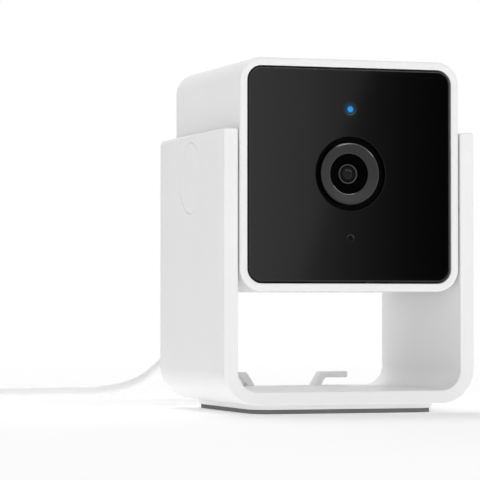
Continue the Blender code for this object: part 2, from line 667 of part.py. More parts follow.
def build_base():
    pad = rounded(PAD_WIDTH, PAD_DEPTH, PLATE_CORNER - PLATE_MARGIN)
    add_piece("foot_pad", slab([pad], PAD_THICKNESS), "black_rubber")
    loops = []
    for out, height in ((PLATE_MARGIN, 0), (PLATE_MARGIN + PLATE_FLARE, PLATE_THICKNESS)):
        outline = rounded(PAD_WIDTH + 2 * out, PAD_DEPTH + 2 * out, PLATE_CORNER + out - PLATE_MARGIN)
        loops.append(at_height(outline, height))
    plate = add_piece("base_plate", lofted(loops), "brushed_metal", None, (0, 0, PLATE_BOTTOM))
    bores = discs(base_screw_places(), BASE_SCREW_HEAD / 2 + GAP, PLATE_THICKNESS + 2 * CUT_OVERRUN)
    shape_with(plate, "DIFFERENCE", "base_screw_bores", bores, (0, 0, PLATE_BOTTOM - CUT_OVERRUN))
    head, shank = BASE_SCREW_HEAD / 2, BASE_SCREW_SHANK / 2
    reach = FLOOR_BOTTOM + BASE_SCREW_REACH - PLATE_BOTTOM
    profile = [(0, 0), (head, 0), (head, BASE_SCREW_HEAD_HEIGHT), (shank, BASE_SCREW_HEAD_HEIGHT)]
    profile += [(shank, reach), (0, reach)]
    for label, (x, y) in zip(("front", "rear"), base_screw_places()):
        screw = turned(profile, SMALL_SIDES)
        add_piece(f"base_screw_{label}", screw, "dark_metal", None, (x, y, PLATE_BOTTOM))
    for label, (x, y) in zip(("left", "right"), magnet_places()):
        magnet = disc(MAGNET_DIAMETER / 2, MAGNET_THICKNESS)
        add_piece(f"base_magnet_{label}", magnet, "tin_shield", None, (x, y, FLOOR_BOTTOM + GAP))


def build_pivot(side, label, head_axis):
    place, turn = inwards(side)
    cap, head, shank = CAP_DIAMETER / 2, PIVOT_HEAD_DIAMETER / 2, PIVOT_SHANK / 2
    profile = [(0, 0), (cap - CAP_EDGE, 0), (cap, CAP_EDGE), (cap, CAP_THICKNESS), (0, CAP_THICKNESS)]
    add_piece(f"pivot_cap_{label}", turned(profile), "white_plastic", None, place, turn)
    neck = CAP_SEAT + PIVOT_HEAD_THICKNESS
    profile = [(0, CAP_SEAT), (head, CAP_SEAT), (head, neck), (shank, neck)]
    profile += [(shank, PIVOT_END), (0, PIVOT_END)]
    add_piece(f"pivot_screw_{label}", turned(profile, SMALL_SIDES), "dark_metal", None, place, turn)
    ring = washer(WASHER_DIAMETER / 2, shank + GAP, WASHER_THICKNESS)
    bmesh.ops.translate(ring, verts=ring.verts, vec=(0, 0, WASHER_OUTER))
    add_piece(f"friction_washer_{label}", ring, "black_rubber", None, place, turn)
    nut_x = side * (STAND_WIDTH / 2 - NUT_START)
    bore = arc((0, 0), shank + GAP, 0, 4, 2 * NUT_SIDES)[:-1]
    nut = frame_slab(hexagon(NUT_WIDTH), bore, NUT_THICKNESS)
    add_piece(f"lock_nut_{label}", nut, "tin_shield", head_axis, (nut_x, 0, 0), turn)


def housing_loops():
    """The sleeve's section, as outlines from its front edge round the outside and through the hollow."""
    def outline(inset, depth, width=HEAD_WIDTH, height=HEAD_HEIGHT, corner=HEAD_CORNER):
        return at_height(rounded(width - 2 * inset, height - 2 * inset, corner - inset), -depth)

    quarter = [math.pi / 2 * i / EDGE_STEPS for i in range(EDGE_STEPS + 1)]
    edge = [(HEAD_EDGE * (1 - math.sin(a)), HEAD_EDGE * (1 - math.cos(a))) for a in quarter]
    loops = [outline(inset, depth) for inset, depth in edge]
    loops += [outline(inset, HEAD_DEPTH - depth) for inset, depth in reversed(edge)]
    loops += [outline(RIM, HEAD_DEPTH), outline(RIM, LEDGE_BACK)]
    loops += [outline(RIM + LEDGE_WIDTH, LEDGE_BACK), outline(RIM + LEDGE_WIDTH, LEDGE_FRONT)]
    loops += [outline(RIM, LEDGE_FRONT), outline(RIM, RIM_CHAMFER), outline(RIM - RIM_CHAMFER, 0)]
    return loops


def build_housing(head_axis):
    body = lofted(housing_loops(), ring=True)
    sleeve = add_piece("housing", body, "housing_plastic", head_axis, (0, HEAD_FRONT, 0), TO_FRONT)
    radius, root = BOSS_DIAMETER / 2, HEAD_SIDE + RIM - SINK
    profile = [(0, root), (radius, root), (radius, BOSS_END), (0, BOSS_END)]
    shape_with(sleeve, "UNION", "pivot_bosses", at_both_pivots(profile))
    pocket, bore = WASHER_DIAMETER / 2 + GAP, PIVOT_SHANK / 2 + GAP
    start, seat, end = HEAD_SIDE - CUT_OVERRUN, HEAD_SIDE + WASHER_POCKET, BOSS_END + CUT_OVERRUN
    profile = [(0, start), (pocket, start), (pocket, seat), (bore, seat), (bore, end), (0, end)]
    shape_with(sleeve, "DIFFERENCE", "pivot_bores", at_both_pivots(profile))


def build_glass(head_axis):
    width, height = OPENING_WIDTH - 2 * GAP, OPENING_HEIGHT - 2 * GAP
    corner = OPENING_CORNER - GAP
    back = -GLASS_THICKNESS
    rise = GLASS_EDGE
    loops = [
        at_height(rounded(width - 2 * rise, height - 2 * rise, corner - rise), 0),
        at_height(rounded(width, height, corner), -rise),
        at_height(rounded(width, height, corner), back),
    ]
    glass = add_piece(
        "front_glass", lofted(loops), "black_glass", head_axis, (0, behind(GLASS_RECESS), 0), TO_FRONT
    )
    deep = GLASS_THICKNESS + 2 * CUT_OVERRUN
    rear = behind(GLASS_BACK + CUT_OVERRUN)
    holes = (
        ("lens_hole", LENS_HOLE, LENS_Z, ROUND_SIDES * 2),
        ("light_hole", LIGHT_HOLE, LIGHT_Z, SMALL_SIDES),
        ("mic_hole", MIC_HOLE, MIC_Z, SMALL_SIDES),
    )
    for name, diameter, height_above, sides in holes:
        hole = disc(diameter / 2, deep, sides)
        shape_with(glass, "DIFFERENCE", name, hole, (0, rear, height_above), TO_FRONT)
    inner = GASKET_WIDTH
    gasket = frame_slab(
        rounded(width, height, corner),
        rounded(width - 2 * inner, height - 2 * inner, corner - inner),
        GASKET_THICKNESS,
    )
    place = (0, behind(GASKET_FRONT + GASKET_THICKNESS), 0)
    add_piece("glass_gasket", gasket, "black_rubber", head_axis, place, TO_FRONT)


def on_lens_axis(depth=0):
    return (0, behind(depth), LENS_Z)


def build_lens(head_axis):
    """Trim, seal, barrel, retaining ring and front lens, as profiles with heights towards the front."""
    outer, inner = TRIM_DIAMETER / 2, TRIM_OPENING / 2
    back = -TRIM_RECESS - TRIM_LENGTH
    dish = -TRIM_RECESS - TRIM_DISH
    trim = turned([(inner, back), (outer, back), (outer, -TRIM_RECESS), (inner, dish)], ROUND_SIDES * 2)
    add_piece("lens_trim", trim, "trim_plastic", head_axis, on_lens_axis(), TO_FRONT)
    seal = washer(outer + GAP + SEAL_WIDTH, outer + GAP, SEAL_THICKNESS)
    place = on_lens_axis(GLASS_BACK + GAP + SEAL_THICKNESS)
    add_piece("lens_seal", seal, "black_rubber", head_axis, place, TO_FRONT)
    wide, thread, bore = inner - GAP, BARREL_THREAD / 2, BARREL_BORE / 2
    seat, ring = RING_DIAMETER / 2 + GAP, RING_DIAMETER / 2
    seat_front = -BARREL_RECESS - BARREL_DISH
    seat_floor = seat_front - SEAT_DEPTH
    end = -BARREL_RECESS - BARREL_LENGTH
    profile = [(bore, end), (thread, end), (thread, -BARREL_NECK), (wide, -BARREL_NECK)]
    profile += [(wide, -BARREL_RECESS), (seat, seat_front), (seat, seat_floor), (bore, seat_floor)]
    add_piece("lens_barrel", turned(profile), "black_plastic", head_axis, on_lens_axis(), TO_FRONT)
    ring_back = -seat_floor - GAP
    bright = washer(ring, ring - RING_WIDTH, RING_THICKNESS)
    add_piece("lens_ring", bright, "dark_metal", head_axis, on_lens_axis(ring_back), TO_FRONT)
    lens = ring - RING_WIDTH - GAP
    curve = [(0.0, 1.0), (0.45, 0.8), (0.8, 0.4)]  # shares of the lens's radius and bulge
    profile = [(0, 0), (lens, 0), (lens, LENS_BASE)]
    profile += [(lens * across, LENS_BASE + LENS_BULGE * up) for across, up in reversed(curve)]
    place = on_lens_axis(ring_back)
    add_piece("front_lens", turned(profile, BUTTON_SIDES), "lens_glass", head_axis, place, TO_FRONT)


def add_slab(name, outline, depth, thickness, finish, head_axis, x=0, z=0, corner=0):
    """A flat upright piece whose front face is this deep behind the camera's front."""
    width, height = outline
    points = rounded(width, height, corner) if corner else box_outline(width, height)
    return add_piece(
        name, slab([points], thickness), finish, head_axis, (x, behind(depth + thickness), z), TO_FRONT
    )


def box_outline(width, height):
    half, up = width / 2, height / 2
    return [(half, up), (-half, up), (-half, -up), (half, -up)]


def build_front_board(head_axis):
    size = (FRONT_BOARD_WIDTH, FRONT_BOARD_HEIGHT)
    board = add_slab(
        "front_board", size, FRONT_BOARD, BOARD_THICKNESS, "black_board", head_axis, corner=BOARD_CORNER
    )
    opening = disc(TRIM_OPENING / 2 + GAP, BOARD_THICKNESS + 2 * CUT_OVERRUN)
    place = on_lens_axis(FRONT_BOARD_BACK + CUT_OVERRUN)
    shape_with(board, "DIFFERENCE", "barrel_opening", opening, place, TO_FRONT)
    for side, label in SIDES:
        depth = FRONT_BOARD - GAP - INFRARED_HEIGHT
        size = (INFRARED_SIZE, INFRARED_SIZE)
        place_x = side * INFRARED_OFFSET
        led = add_slab(
            f"infrared_led_{label}", size, depth, INFRARED_HEIGHT, "lens_glass", head_axis, place_x, LENS_Z
        )
        round_edges(led, INFRARED_EDGE)
    depth = FRONT_BOARD - GAP - STATUS_HEIGHT
    size = (STATUS_SIZE, STATUS_DEPTH)
    add_slab("status_led", size, depth, STATUS_HEIGHT, "blue_light", head_axis, 0, LIGHT_Z)
    length = depth - GAP - GLASS_RECESS
    pipe = disc(LIGHT_HOLE / 2 - GAP, length, SMALL_SIDES)
    add_piece("light_pipe", pipe, "blue_light", head_axis, (0, behind(depth - GAP), LIGHT_Z), TO_FRONT)
    depth = FRONT_BOARD - GAP - MIC_HEIGHT
    add_slab("microphone", (MIC_WIDTH, MIC_LENGTH), depth, MIC_HEIGHT, "tin_shield", head_axis, 0, MIC_Z)
    length = depth - GAP - GLASS_BACK - GAP
    boot = washer(MIC_HOLE / 2 + BOOT_WALL, MIC_HOLE / 2, length, SMALL_SIDES)
    add_piece("mic_boot", boot, "black_rubber", head_axis, (0, behind(depth - GAP), MIC_Z), TO_FRONT)


def build_sensor(head_axis):
    square = (HOLDER_SIZE, HOLDER_SIZE)
    depth, length, corner = HOLDER_FRONT, HOLDER_LENGTH, HOLDER_CORNER
    holder = add_slab("lens_holder", square, depth, length, "black_plastic", head_axis, 0, LENS_Z, corner)
    bore = disc(BARREL_THREAD / 2 + GAP, HOLDER_LENGTH + 2 * CUT_OVERRUN)
    shape_with(holder, "DIFFERENCE", "barrel_bore", bore, on_lens_axis(HOLDER_BACK + CUT_OVERRUN), TO_FRONT)
    chamber = slab([box_outline(CHAMBER_SIZE, CHAMBER_SIZE)], CHAMBER_DEPTH + CUT_OVERRUN)
    shape_with(holder, "DIFFERENCE", "chamber", chamber, on_lens_axis(HOLDER_BACK + CUT_OVERRUN), TO_FRONT)
    filter_front = HOLDER_BACK - CHAMBER_DEPTH + GAP
    filter_back = filter_front + FILTER_THICKNESS
    slot_width = max(HOLDER_SIZE / 2 + CUT_OVERRUN, FILTER_WIDTH / 2 + FILTER_TRAVEL + GAP)
    slot = slab([box_outline(slot_width, FILTER_HEIGHT + 2 * GAP)], FILTER_THICKNESS + 2 * GAP)
    place = (slot_width / 2, behind(filter_back + GAP), LENS_Z)
    shape_with(holder, "DIFFERENCE", "filter_slot", slot, place, TO_FRONT)
    outer, window = rounded(FILTER_WIDTH, FILTER_HEIGHT, HOLDER_CORNER), FILTER_WINDOW / 2
    hole = rounded(2 * window, 2 * window, window - GAP)
    frame = frame_slab(outer, hole, FILTER_THICKNESS)
    add_piece("ir_cut_filter", frame, "amber_film", head_axis, on_lens_axis(filter_back), TO_FRONT)
    size = (SENSOR_WIDTH, SENSOR_HEIGHT)
    depth = SENSOR_BOARD - GAP - SENSOR_THICKNESS
    add_slab("image_sensor", size, depth, SENSOR_THICKNESS, "lens_glass", head_axis, 0, LENS_Z)
    size = (SENSOR_BOARD_WIDTH, MAIN_BOARD_HEIGHT)
    depth, thick, corner = SENSOR_BOARD, BOARD_THICKNESS, BOARD_CORNER
    add_slab("sensor_board", size, depth, thick, "circuit_board", head_axis, corner=corner)


def build_inner_frame(head_axis):
    outer = rounded(FRAME_WIDTH, OPENING_HEIGHT - 2 * GAP, BOARD_CORNER)
    window = rounded(FRAME_WINDOW, FRAME_WINDOW, BOARD_CORNER)
    plate = frame_slab(outer, window, FRAME_THICKNESS)
    frame = add_piece("inner_frame", plate, "black_plastic", head_axis, (0, behind(FRAME_BACK), 0), TO_FRONT)
    rear, front = COVER_FRONT - GAP, FRONT_BOARD_BACK + GAP
    posts = discs(corners_at(POST_X, POST_RISE), POST_DIAMETER / 2, rear - front)
    shape_with(frame, "UNION", "posts", posts, (0, behind(rear), 0), TO_FRONT)
    stub_rear, stub_front = FRAME_BACK + STUB_REAR, FRAME_FRONT - STUB_FRONT
    stubs = discs(corners_at(STUB_X, STUB_RISE), STUB_DIAMETER / 2, stub_rear - stub_front)
    shape_with(frame, "UNION", "stubs", stubs, (0, behind(stub_rear), 0), TO_FRONT)
    pilot = COVER_SCREW_REACH + GAP + CUT_OVERRUN
    pilots = discs(corners_at(POST_X, POST_RISE), COVER_SCREW_SHANK / 2 + GAP, pilot, SMALL_SIDES // 2)
    shape_with(frame, "DIFFERENCE", "screw_pilots", pilots, (0, behind(rear + CUT_OVERRUN), 0), TO_FRONT)


def outline_of_sink():
    """A heat sink's end view: a base with fins that point along +Y."""
    half, pitch = SINK_SIZE / 2, (SINK_SIZE - SINK_FIN) / (SINK_FINS - 1)
    points = [(-half, 0), (half, 0)]
    for i in reversed(range(SINK_FINS)):
        left = -half + i * pitch
        points += [(left + SINK_FIN, SINK_HEIGHT), (left, SINK_HEIGHT)]
        if i:
            points += [(left, SINK_BASE), (left - pitch + SINK_FIN, SINK_BASE)]
    return points


def build_main_board(head_axis):
    size = (MAIN_BOARD_WIDTH, MAIN_BOARD_HEIGHT)
    add_slab(
        "main_board", size, MAIN_BOARD, MAIN_BOARD_THICKNESS, "circuit_board", head_axis, 0, 0, BOARD_CORNER
    )
    depth = MAIN_BOARD - GAP - PROCESSOR_THICKNESS
    size = (PROCESSOR_SIZE, PROCESSOR_SIZE)
    add_slab("processor", size, depth, PROCESSOR_THICKNESS, "chip_black", head_axis)
    place = (0, behind(depth - GAP), -SINK_SIZE / 2)
    sink = slab([outline_of_sink()], SINK_SIZE)
    add_piece("heat_sink", sink, "tin_shield", head_axis, place, HALF_TURN)
    depth = MAIN_BOARD + MAIN_BOARD_THICKNESS + GAP
    size = (RADIO_WIDTH, RADIO_HEIGHT)
    add_slab("wireless_module", size, depth, RADIO_THICKNESS, "tin_shield", head_axis)
    strip = slab([box_outline(ANTENNA_WIDTH, ANTENNA_LENGTH)], ANTENNA_THICKNESS)
    top = OPENING_HEIGHT / 2 - GAP - ANTENNA_THICKNESS
    place = (0, behind(HEAD_DEPTH - ANTENNA_FROM_REAR), top)
    add_piece("antenna", strip, "amber_film", head_axis, place)


def sound_hole_places():
    places = [(0, SPEAKER_RISE)]
    for ring in range(1, SOUND_RINGS + 1):
        turns = [math.pi / 3 * i / ring for i in range(6 * ring)]
        reach = ring * SOUND_PITCH
        places += [(reach * math.cos(a), SPEAKER_RISE + reach * math.sin(a)) for a in turns]
    return places


def build_rear_cover(head_axis):
    size = (OPENING_WIDTH - 2 * GAP, OPENING_HEIGHT - 2 * GAP)
    corner = OPENING_CORNER - GAP
    cover = add_slab(
        "rear_cover", size, COVER_FRONT, COVER_THICKNESS, "housing_plastic", head_axis, corner=corner
    )
    outside = (0, behind(COVER_BACK + CUT_OVERRUN), 0)
    through = COVER_THICKNESS + 2 * CUT_OVERRUN
    sound = discs(sound_hole_places(), SOUND_HOLE / 2, through, SOUND_SIDES)
    shape_with(cover, "DIFFERENCE", "sound_holes", sound, outside, TO_FRONT)
    screws = corners_at(POST_X, POST_RISE)
    bores = discs(screws, COVER_SCREW_SHANK / 2 + GAP, through)
    shape_with(cover, "DIFFERENCE", "screw_bores", bores, outside, TO_FRONT)
    seats = discs(screws, COVER_SCREW_HEAD / 2 + GAP, CUT_OVERRUN + SEAM + COVER_SCREW_HEAD_HEIGHT + GAP)
    shape_with(cover, "DIFFERENCE", "screw_seats", seats, outside, TO_FRONT)
    button = discs([(BUTTON_OFFSET, BUTTON_Z)], BUTTON_DIAMETER / 2 + GAP, through)
    shape_with(cover, "DIFFERENCE", "button_hole", button, outside, TO_FRONT)
    port = (0, outside[1], PORT_Z)
    wide, tall = MICRO_SHELL_WIDTH + 2 * GAP, MICRO_SHELL_HEIGHT + 2 * GAP
    opening = slab([rounded(wide, tall, SOCKET_CORNER)], through)
    shape_with(cover, "DIFFERENCE", "port_opening", opening, port, TO_FRONT)
    wide, tall = MICRO_BODY_WIDTH + 2 * GAP, MICRO_BODY_HEIGHT + 2 * GAP
    pocket = slab([rounded(wide, tall, MICRO_BODY_CORNER + GAP)], PORT_POCKET_DEPTH + CUT_OVERRUN)
    shape_with(cover, "DIFFERENCE", "port_pocket", pocket, port, TO_FRONT)


def outline_of_cross(size):
    arm, half = SCREW_SLOT_WIDTH / 2, size / 2
    corner = [(half, -arm), (half, arm), (arm, arm)]
    points = []
    for quarter in range(4):
        across, up = math.cos(quarter * math.pi / 2), math.sin(quarter * math.pi / 2)
        points += [(x * across - y * up, x * up + y * across) for x, y in corner]
    return points


def build_rear_screws(head_axis):
    """Each screw's own Z points to the front, from the outer face of its head."""
    head, shank, tall = COVER_SCREW_HEAD / 2, COVER_SCREW_SHANK / 2, COVER_SCREW_HEAD_HEIGHT
    outer_face = COVER_BACK - SEAM
    end = outer_face - (COVER_FRONT - GAP - COVER_SCREW_REACH)
    profile = [(0, 0), (head, 0), (head, tall), (shank, tall), (shank, end), (0, end)]
    for number, (x, z) in enumerate(corners_at(POST_X, POST_RISE), 1):
        place = (x, behind(outer_face), z)
        screw = add_piece(
            f"rear_screw_{number}", turned(profile, SMALL_SIDES), "dark_metal", head_axis, place, TO_FRONT
        )
        recess = slab([outline_of_cross(SCREW_CROSS)], SCREW_SLOT_DEPTH + CUT_OVERRUN)
        above = (x, behind(outer_face + CUT_OVERRUN), z)
        shape_with(screw, "DIFFERENCE", f"cross_recess_{number}", recess, above, TO_FRONT)


def build_port(head_axis):
    wall, corner, length = SOCKET_WALL, SOCKET_CORNER + SOCKET_WALL, SOCKET_REAR - SOCKET_FRONT
    socket = cup(SOCKET_WIDTH, SOCKET_HEIGHT, corner, wall, length)
    add_piece("usb_socket", socket, "tin_shield", head_axis, (0, behind(SOCKET_FRONT), PORT_Z), TO_REAR)
    rear, left, right = behind(SOCKET_REAR), -PORT_BOARD_LEFT, PORT_BOARD_RIGHT
    front = rear - PORT_BOARD_DEPTH
    board = slab([[(left, front), (right, front), (right, rear), (left, rear)]], PORT_BOARD_THICKNESS)
    place = (0, 0, PORT_BOARD_TOP - PORT_BOARD_THICKNESS)
    add_piece("port_board", board, "circuit_board", head_axis, place)
    size = (SWITCH_WIDTH, SWITCH_HEIGHT)
    depth = FLANGE_FRONT - BUTTON_TRAVEL - GAP - SWITCH_LENGTH
    x, z = BUTTON_OFFSET, BUTTON_Z
    add_slab("tact_switch", size, depth, SWITCH_LENGTH, "chip_black", head_axis, x, z)
    flange, stem, tall = BUTTON_FLANGE / 2, BUTTON_DIAMETER / 2, BUTTON_FLANGE_THICKNESS
    end = COVER_BACK - SEAM - FLANGE_FRONT
    profile = [(0, 0), (flange, 0), (flange, tall), (stem, tall), (stem, end), (0, end)]
    place = (x, behind(FLANGE_FRONT), z)
    add_piece("reset_button", turned(profile, BUTTON_SIDES), "black_plastic", head_axis, place, TO_REAR)


def build_speaker(head_axis):
    """Basket, cone and magnet, as profiles with heights towards the rear."""
    outer, mouth = SPEAKER_DIAMETER / 2, SPEAKER_DIAMETER / 2 - SPEAKER_RIM
    wall, deep = SPEAKER_WALL, SPEAKER_DEPTH
    place = (0, behind(SPEAKER_FRONT), SPEAKER_RISE)
    basket = turned([(0, 0), (outer, 0), (outer, deep), (mouth, deep), (mouth, wall), (0, wall)])
    add_piece("speaker_basket", basket, "black_plastic", head_axis, place, TO_REAR)
    low, edge, hub = wall + GAP, mouth - GAP, CONE_HUB / 2
    high = low + CONE_DEPTH
    profile = [(0, low), (hub, low), (edge, high), (edge, high + CONE_THICKNESS)]
    profile += [(hub, low + CONE_THICKNESS), (0, low + CONE_THICKNESS)]
    add_piece("speaker_cone", turned(profile), "paper_cone", head_axis, place, TO_REAR)
    magnet = disc(SPEAKER_MAGNET / 2, SPEAKER_MAGNET_THICKNESS)
    front = behind(SPEAKER_FRONT - GAP - SPEAKER_MAGNET_THICKNESS)
    add_piece("speaker_magnet", magnet, "tin_shield", head_axis, (0, front, SPEAKER_RISE), TO_REAR)


def plug_body(width, height, length, corner):
    """A moulded plug body with a ribbed strain relief, along its own Z from the shell's end."""
    edge = PLUG_EDGE
    loops = [
        at_height(rounded(width - 2 * edge, height - 2 * edge, corner - edge), 0),
        at_height(rounded(width, height, corner), edge),
        at_height(rounded(width, height, corner), length - edge),
        at_height(rounded(width - 2 * edge, height - 2 * edge, corner - edge), length),
    ]
    step = RELIEF_LENGTH / (2 * RELIEF_RIBS)
    for i in range(2 * RELIEF_RIBS + 1):
        taper = RELIEF_START + (RELIEF_END - RELIEF_START) * i / (2 * RELIEF_RIBS)
        size = taper - RELIEF_GROOVE * (i % 2)
        loops.append(at_height(rounded(size, size, size * ROUND_SHARE), length + i * step))
    return lofted(loops)


def build_plugs(head_axis):
    corner, wall = SOCKET_CORNER - GAP, SHELL_WALL
    shell = cup(MICRO_SHELL_WIDTH, MICRO_SHELL_HEIGHT, corner, wall, MICRO_SHELL_LENGTH)
    place = (0, behind(POCKET_FLOOR), PORT_Z)
    add_piece("micro_plug_shell", shell, "tin_shield", head_axis, place, TO_FRONT)
    body = plug_body(MICRO_BODY_WIDTH, MICRO_BODY_HEIGHT, MICRO_BODY_LENGTH, MICRO_BODY_CORNER)
    add_piece("micro_plug_body", body, "cord_jacket", head_axis, (0, behind(MICRO_BODY), PORT_Z), TO_REAR)
    front = LARGE_PLUG_END - RELIEF_LENGTH - LARGE_BODY_LENGTH
    body = plug_body(LARGE_BODY_WIDTH, LARGE_BODY_HEIGHT, LARGE_BODY_LENGTH, LARGE_BODY_CORNER)
    place = (LARGE_PLUG_X, front, LARGE_PLUG_Z)
    add_piece("usb_a_plug_body", body, "cord_jacket", None, place, TO_REAR)
    shell = cup(LARGE_SHELL_WIDTH, LARGE_SHELL_HEIGHT, SOCKET_CORNER, SHELL_WALL, LARGE_SHELL_LENGTH)
    place = (LARGE_PLUG_X, front - GAP, LARGE_PLUG_Z)
    add_piece("usb_a_plug_shell", shell, "tin_shield", None, place, TO_FRONT)


def smooth_line(route, step):
    """Points about a step apart on the smooth curve through the route's points (Catmull-Rom)."""
    points = np.array([2 * np.array(route[0]) - route[1], *route, 2 * np.array(route[-1]) - route[-2]])
    times = np.cumsum([0, *np.sqrt(np.linalg.norm(np.diff(points, axis=0), axis=1))])
    dense = []
    for i in range(1, len(points) - 2):
        a, b, c, d = points[i - 1 : i + 3]
        ta, tb, tc, td = times[i - 1 : i + 3]
        for t in np.linspace(tb, tc, CURVE_SAMPLES, endpoint=False):
            ab = a + (b - a) * (t - ta) / (tb - ta)
            bc = b + (c - b) * (t - tb) / (tc - tb)
            cd = c + (d - c) * (t - tc) / (td - tc)
            abc = ab + (bc - ab) * (t - ta) / (tc - ta)
            bcd = bc + (cd - bc) * (t - tb) / (td - tb)
            dense.append(abc + (bcd - abc) * (t - tb) / (tc - tb))
    dense = np.array([*dense, points[-2]])
    along = np.cumsum([0, *np.linalg.norm(np.diff(dense, axis=0), axis=1)])
    places = np.linspace(0, along[-1], math.ceil(along[-1] / step) + 1)
    return np.stack([np.interp(places, along, dense[:, k]) for k in range(3)], axis=1)


def coil_line():
    """The middle of the cord in its coil: in and out again at a steady rate, a layer higher each time."""
    turn, radius, height = COIL_START, COIL_OUTER_RADIUS, COIL_BASE
    path = [(turn, radius, height)]
    for layer, turns in enumerate(COIL_TURNS):
        way = -1 if layer % 2 == 0 else 1
        steps = round(turns * COIL_LOOP_POINTS)
        for _ in range(steps):
            turn += 2 * math.pi / COIL_LOOP_POINTS
            radius += way * COIL_PITCH / COIL_LOOP_POINTS
            path.append((turn, radius, height))
        if layer == len(COIL_TURNS) - 1:
            break
        climb = COIL_LOOP_POINTS // 2
        for _ in range(climb):
            turn += 2 * math.pi / COIL_LOOP_POINTS
            height += COIL_PITCH / climb
            path.append((turn, radius, height))
    x, y = COIL_CENTRE
    points = [(x + r * math.cos(a), y + r * math.sin(a), z) for a, r, z in path]
    return np.array([straight_end(path[0], -1), *points, straight_end(path[-1], 1)])


def straight_end(station, way):
    """The point one cord diameter past an end of the coil, square to its radius."""
    angle, radius, height = station
    x = COIL_CENTRE[0] + radius * math.cos(angle) - way * CORD_DIAMETER * math.sin(angle)
    y = COIL_CENTRE[1] + radius * math.sin(angle) + way * CORD_DIAMETER * math.cos(angle)
    return (x, y, height)


def least_gap(line):
    """The least space between two stretches of the cord that aren't neighbours along it."""
    fine = smooth_line([tuple(p) for p in line], CORD_DIAMETER / GAP_SAMPLES)
    apart = np.linalg.norm(fine[:, None] - fine[None], axis=2)
    index = np.arange(len(fine))
    near = np.abs(index[:, None] - index[None]) < GAP_SAMPLES * GAP_NEIGHBOURS
    apart[near] = np.inf
    return float(apart.min()) - CORD_DIAMETER


def add_cord(name, points, resolution):
    curve = bpy.data.curves.new(name, "CURVE")
    curve.dimensions = "3D"
    curve.bevel_depth = CORD_DIAMETER / 2
    curve.bevel_resolution = resolution
    curve.use_fill_caps = True
    spline = curve.splines.new("POLY")
    spline.points.add(len(points) - 1)
    for corner, point in zip(spline.points, points):
        corner.co = (*point, 1)
    made = bpy.data.objects.new(name, curve)
    made.data.materials.append(material("cord_jacket"))
    bpy.context.scene.collection.objects.link(made)


def extended(end, before, length):
    """A point this far past the end of a line that comes from before."""
    return tuple(Vector(end) + (Vector(end) - Vector(before)).normalized() * length)


def length_of(line):
    return float(np.linalg.norm(np.diff(line, axis=0), axis=1).sum())


def build_lead():
    coil = coil_line()
    start = (0, LEAD_START, PIVOT_HEIGHT + PORT_Z)
    coil_first = extended(coil[0], coil[1], GAP)
    route = [start, (0, LEAD_START + CORD_DIAMETER, start[2]), *LEAD_ROUTE]
    route += [extended(coil_first, coil[0], CORD_DIAMETER), coil_first]
    lead = smooth_line(route, CORD_STEP)
    tail_first = extended(coil[-1], coil[-2], GAP)
    end = (LARGE_PLUG_X, LARGE_PLUG_END + GAP, LARGE_PLUG_Z)
    route = [tail_first, extended(tail_first, coil[-1], CORD_DIAMETER), *TAIL_ROUTE]
    route += [(end[0], end[1] + CORD_DIAMETER, end[2]), end]
    tail = smooth_line(route, CORD_STEP)
    add_cord("cord_lead", lead, 2)
    add_cord("cord_coil", coil, 1)
    add_cord("cord_tail", tail, 2)
    total = length_of(lead) + length_of(coil) + length_of(tail)
    print(f"cord length {total / MM:.0f} mm, least gap in the coil {least_gap(coil) / MM:.2f} mm")


def build_tie():
    """A flat band round the coil's bundle, its own X outwards from the coil's middle."""
    radius = CORD_DIAMETER / 2
    near = math.sqrt(COIL_INNER_RADIUS**2 - (TIE_WIDTH / 2) ** 2) - radius - GAP
    far = COIL_OUTER_RADIUS + radius + GAP
    layers = len(COIL_TURNS) - 1
    wide, tall = far - near, layers * COIL_PITCH + CORD_DIAMETER + 2 * GAP
    corner, wall = radius + GAP, TIE_THICKNESS
    band = frame_slab(
        rounded(wide + 2 * wall, tall + 2 * wall, corner + wall), rounded(wide, tall, corner), TIE_WIDTH
    )
    middle = (near + far) / 2
    across, along = math.cos(TIE_ANGLE), math.sin(TIE_ANGLE)
    x = COIL_CENTRE[0] + middle * across - along * TIE_WIDTH / 2
    y = COIL_CENTRE[1] + middle * along + across * TIE_WIDTH / 2
    place = (x, y, TIE_THICKNESS + tall / 2)
    add_piece("cord_tie", band, "grey_rubber", None, place, (math.pi / 2, 0, TIE_ANGLE))


def main():
    clear_scene()
    head_axis = empty_at("head_tilt_axis", (0, 0, PIVOT_HEIGHT))
    build_base()
    build_stand()
    for side, label in SIDES:
        build_pivot(side, label, head_axis)
    build_housing(head_axis)
    build_glass(head_axis)
    build_lens(head_axis)
    build_front_board(head_axis)
    build_sensor(head_axis)
    build_inner_frame(head_axis)
    build_main_board(head_axis)
    build_rear_cover(head_axis)
    build_rear_screws(head_axis)
    build_port(head_axis)
    build_speaker(head_axis)
    build_plugs(head_axis)
    build_lead()
    build_tie()


main()
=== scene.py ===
"""A small pet camera that tilts in its U-shaped stand, with its power lead put away behind it.

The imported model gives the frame. This script makes the surfaces that show, gives every piece its
finish, and sets a plain pale studio round them. Metres, +Z up, the camera's glass faces -Y.
"""

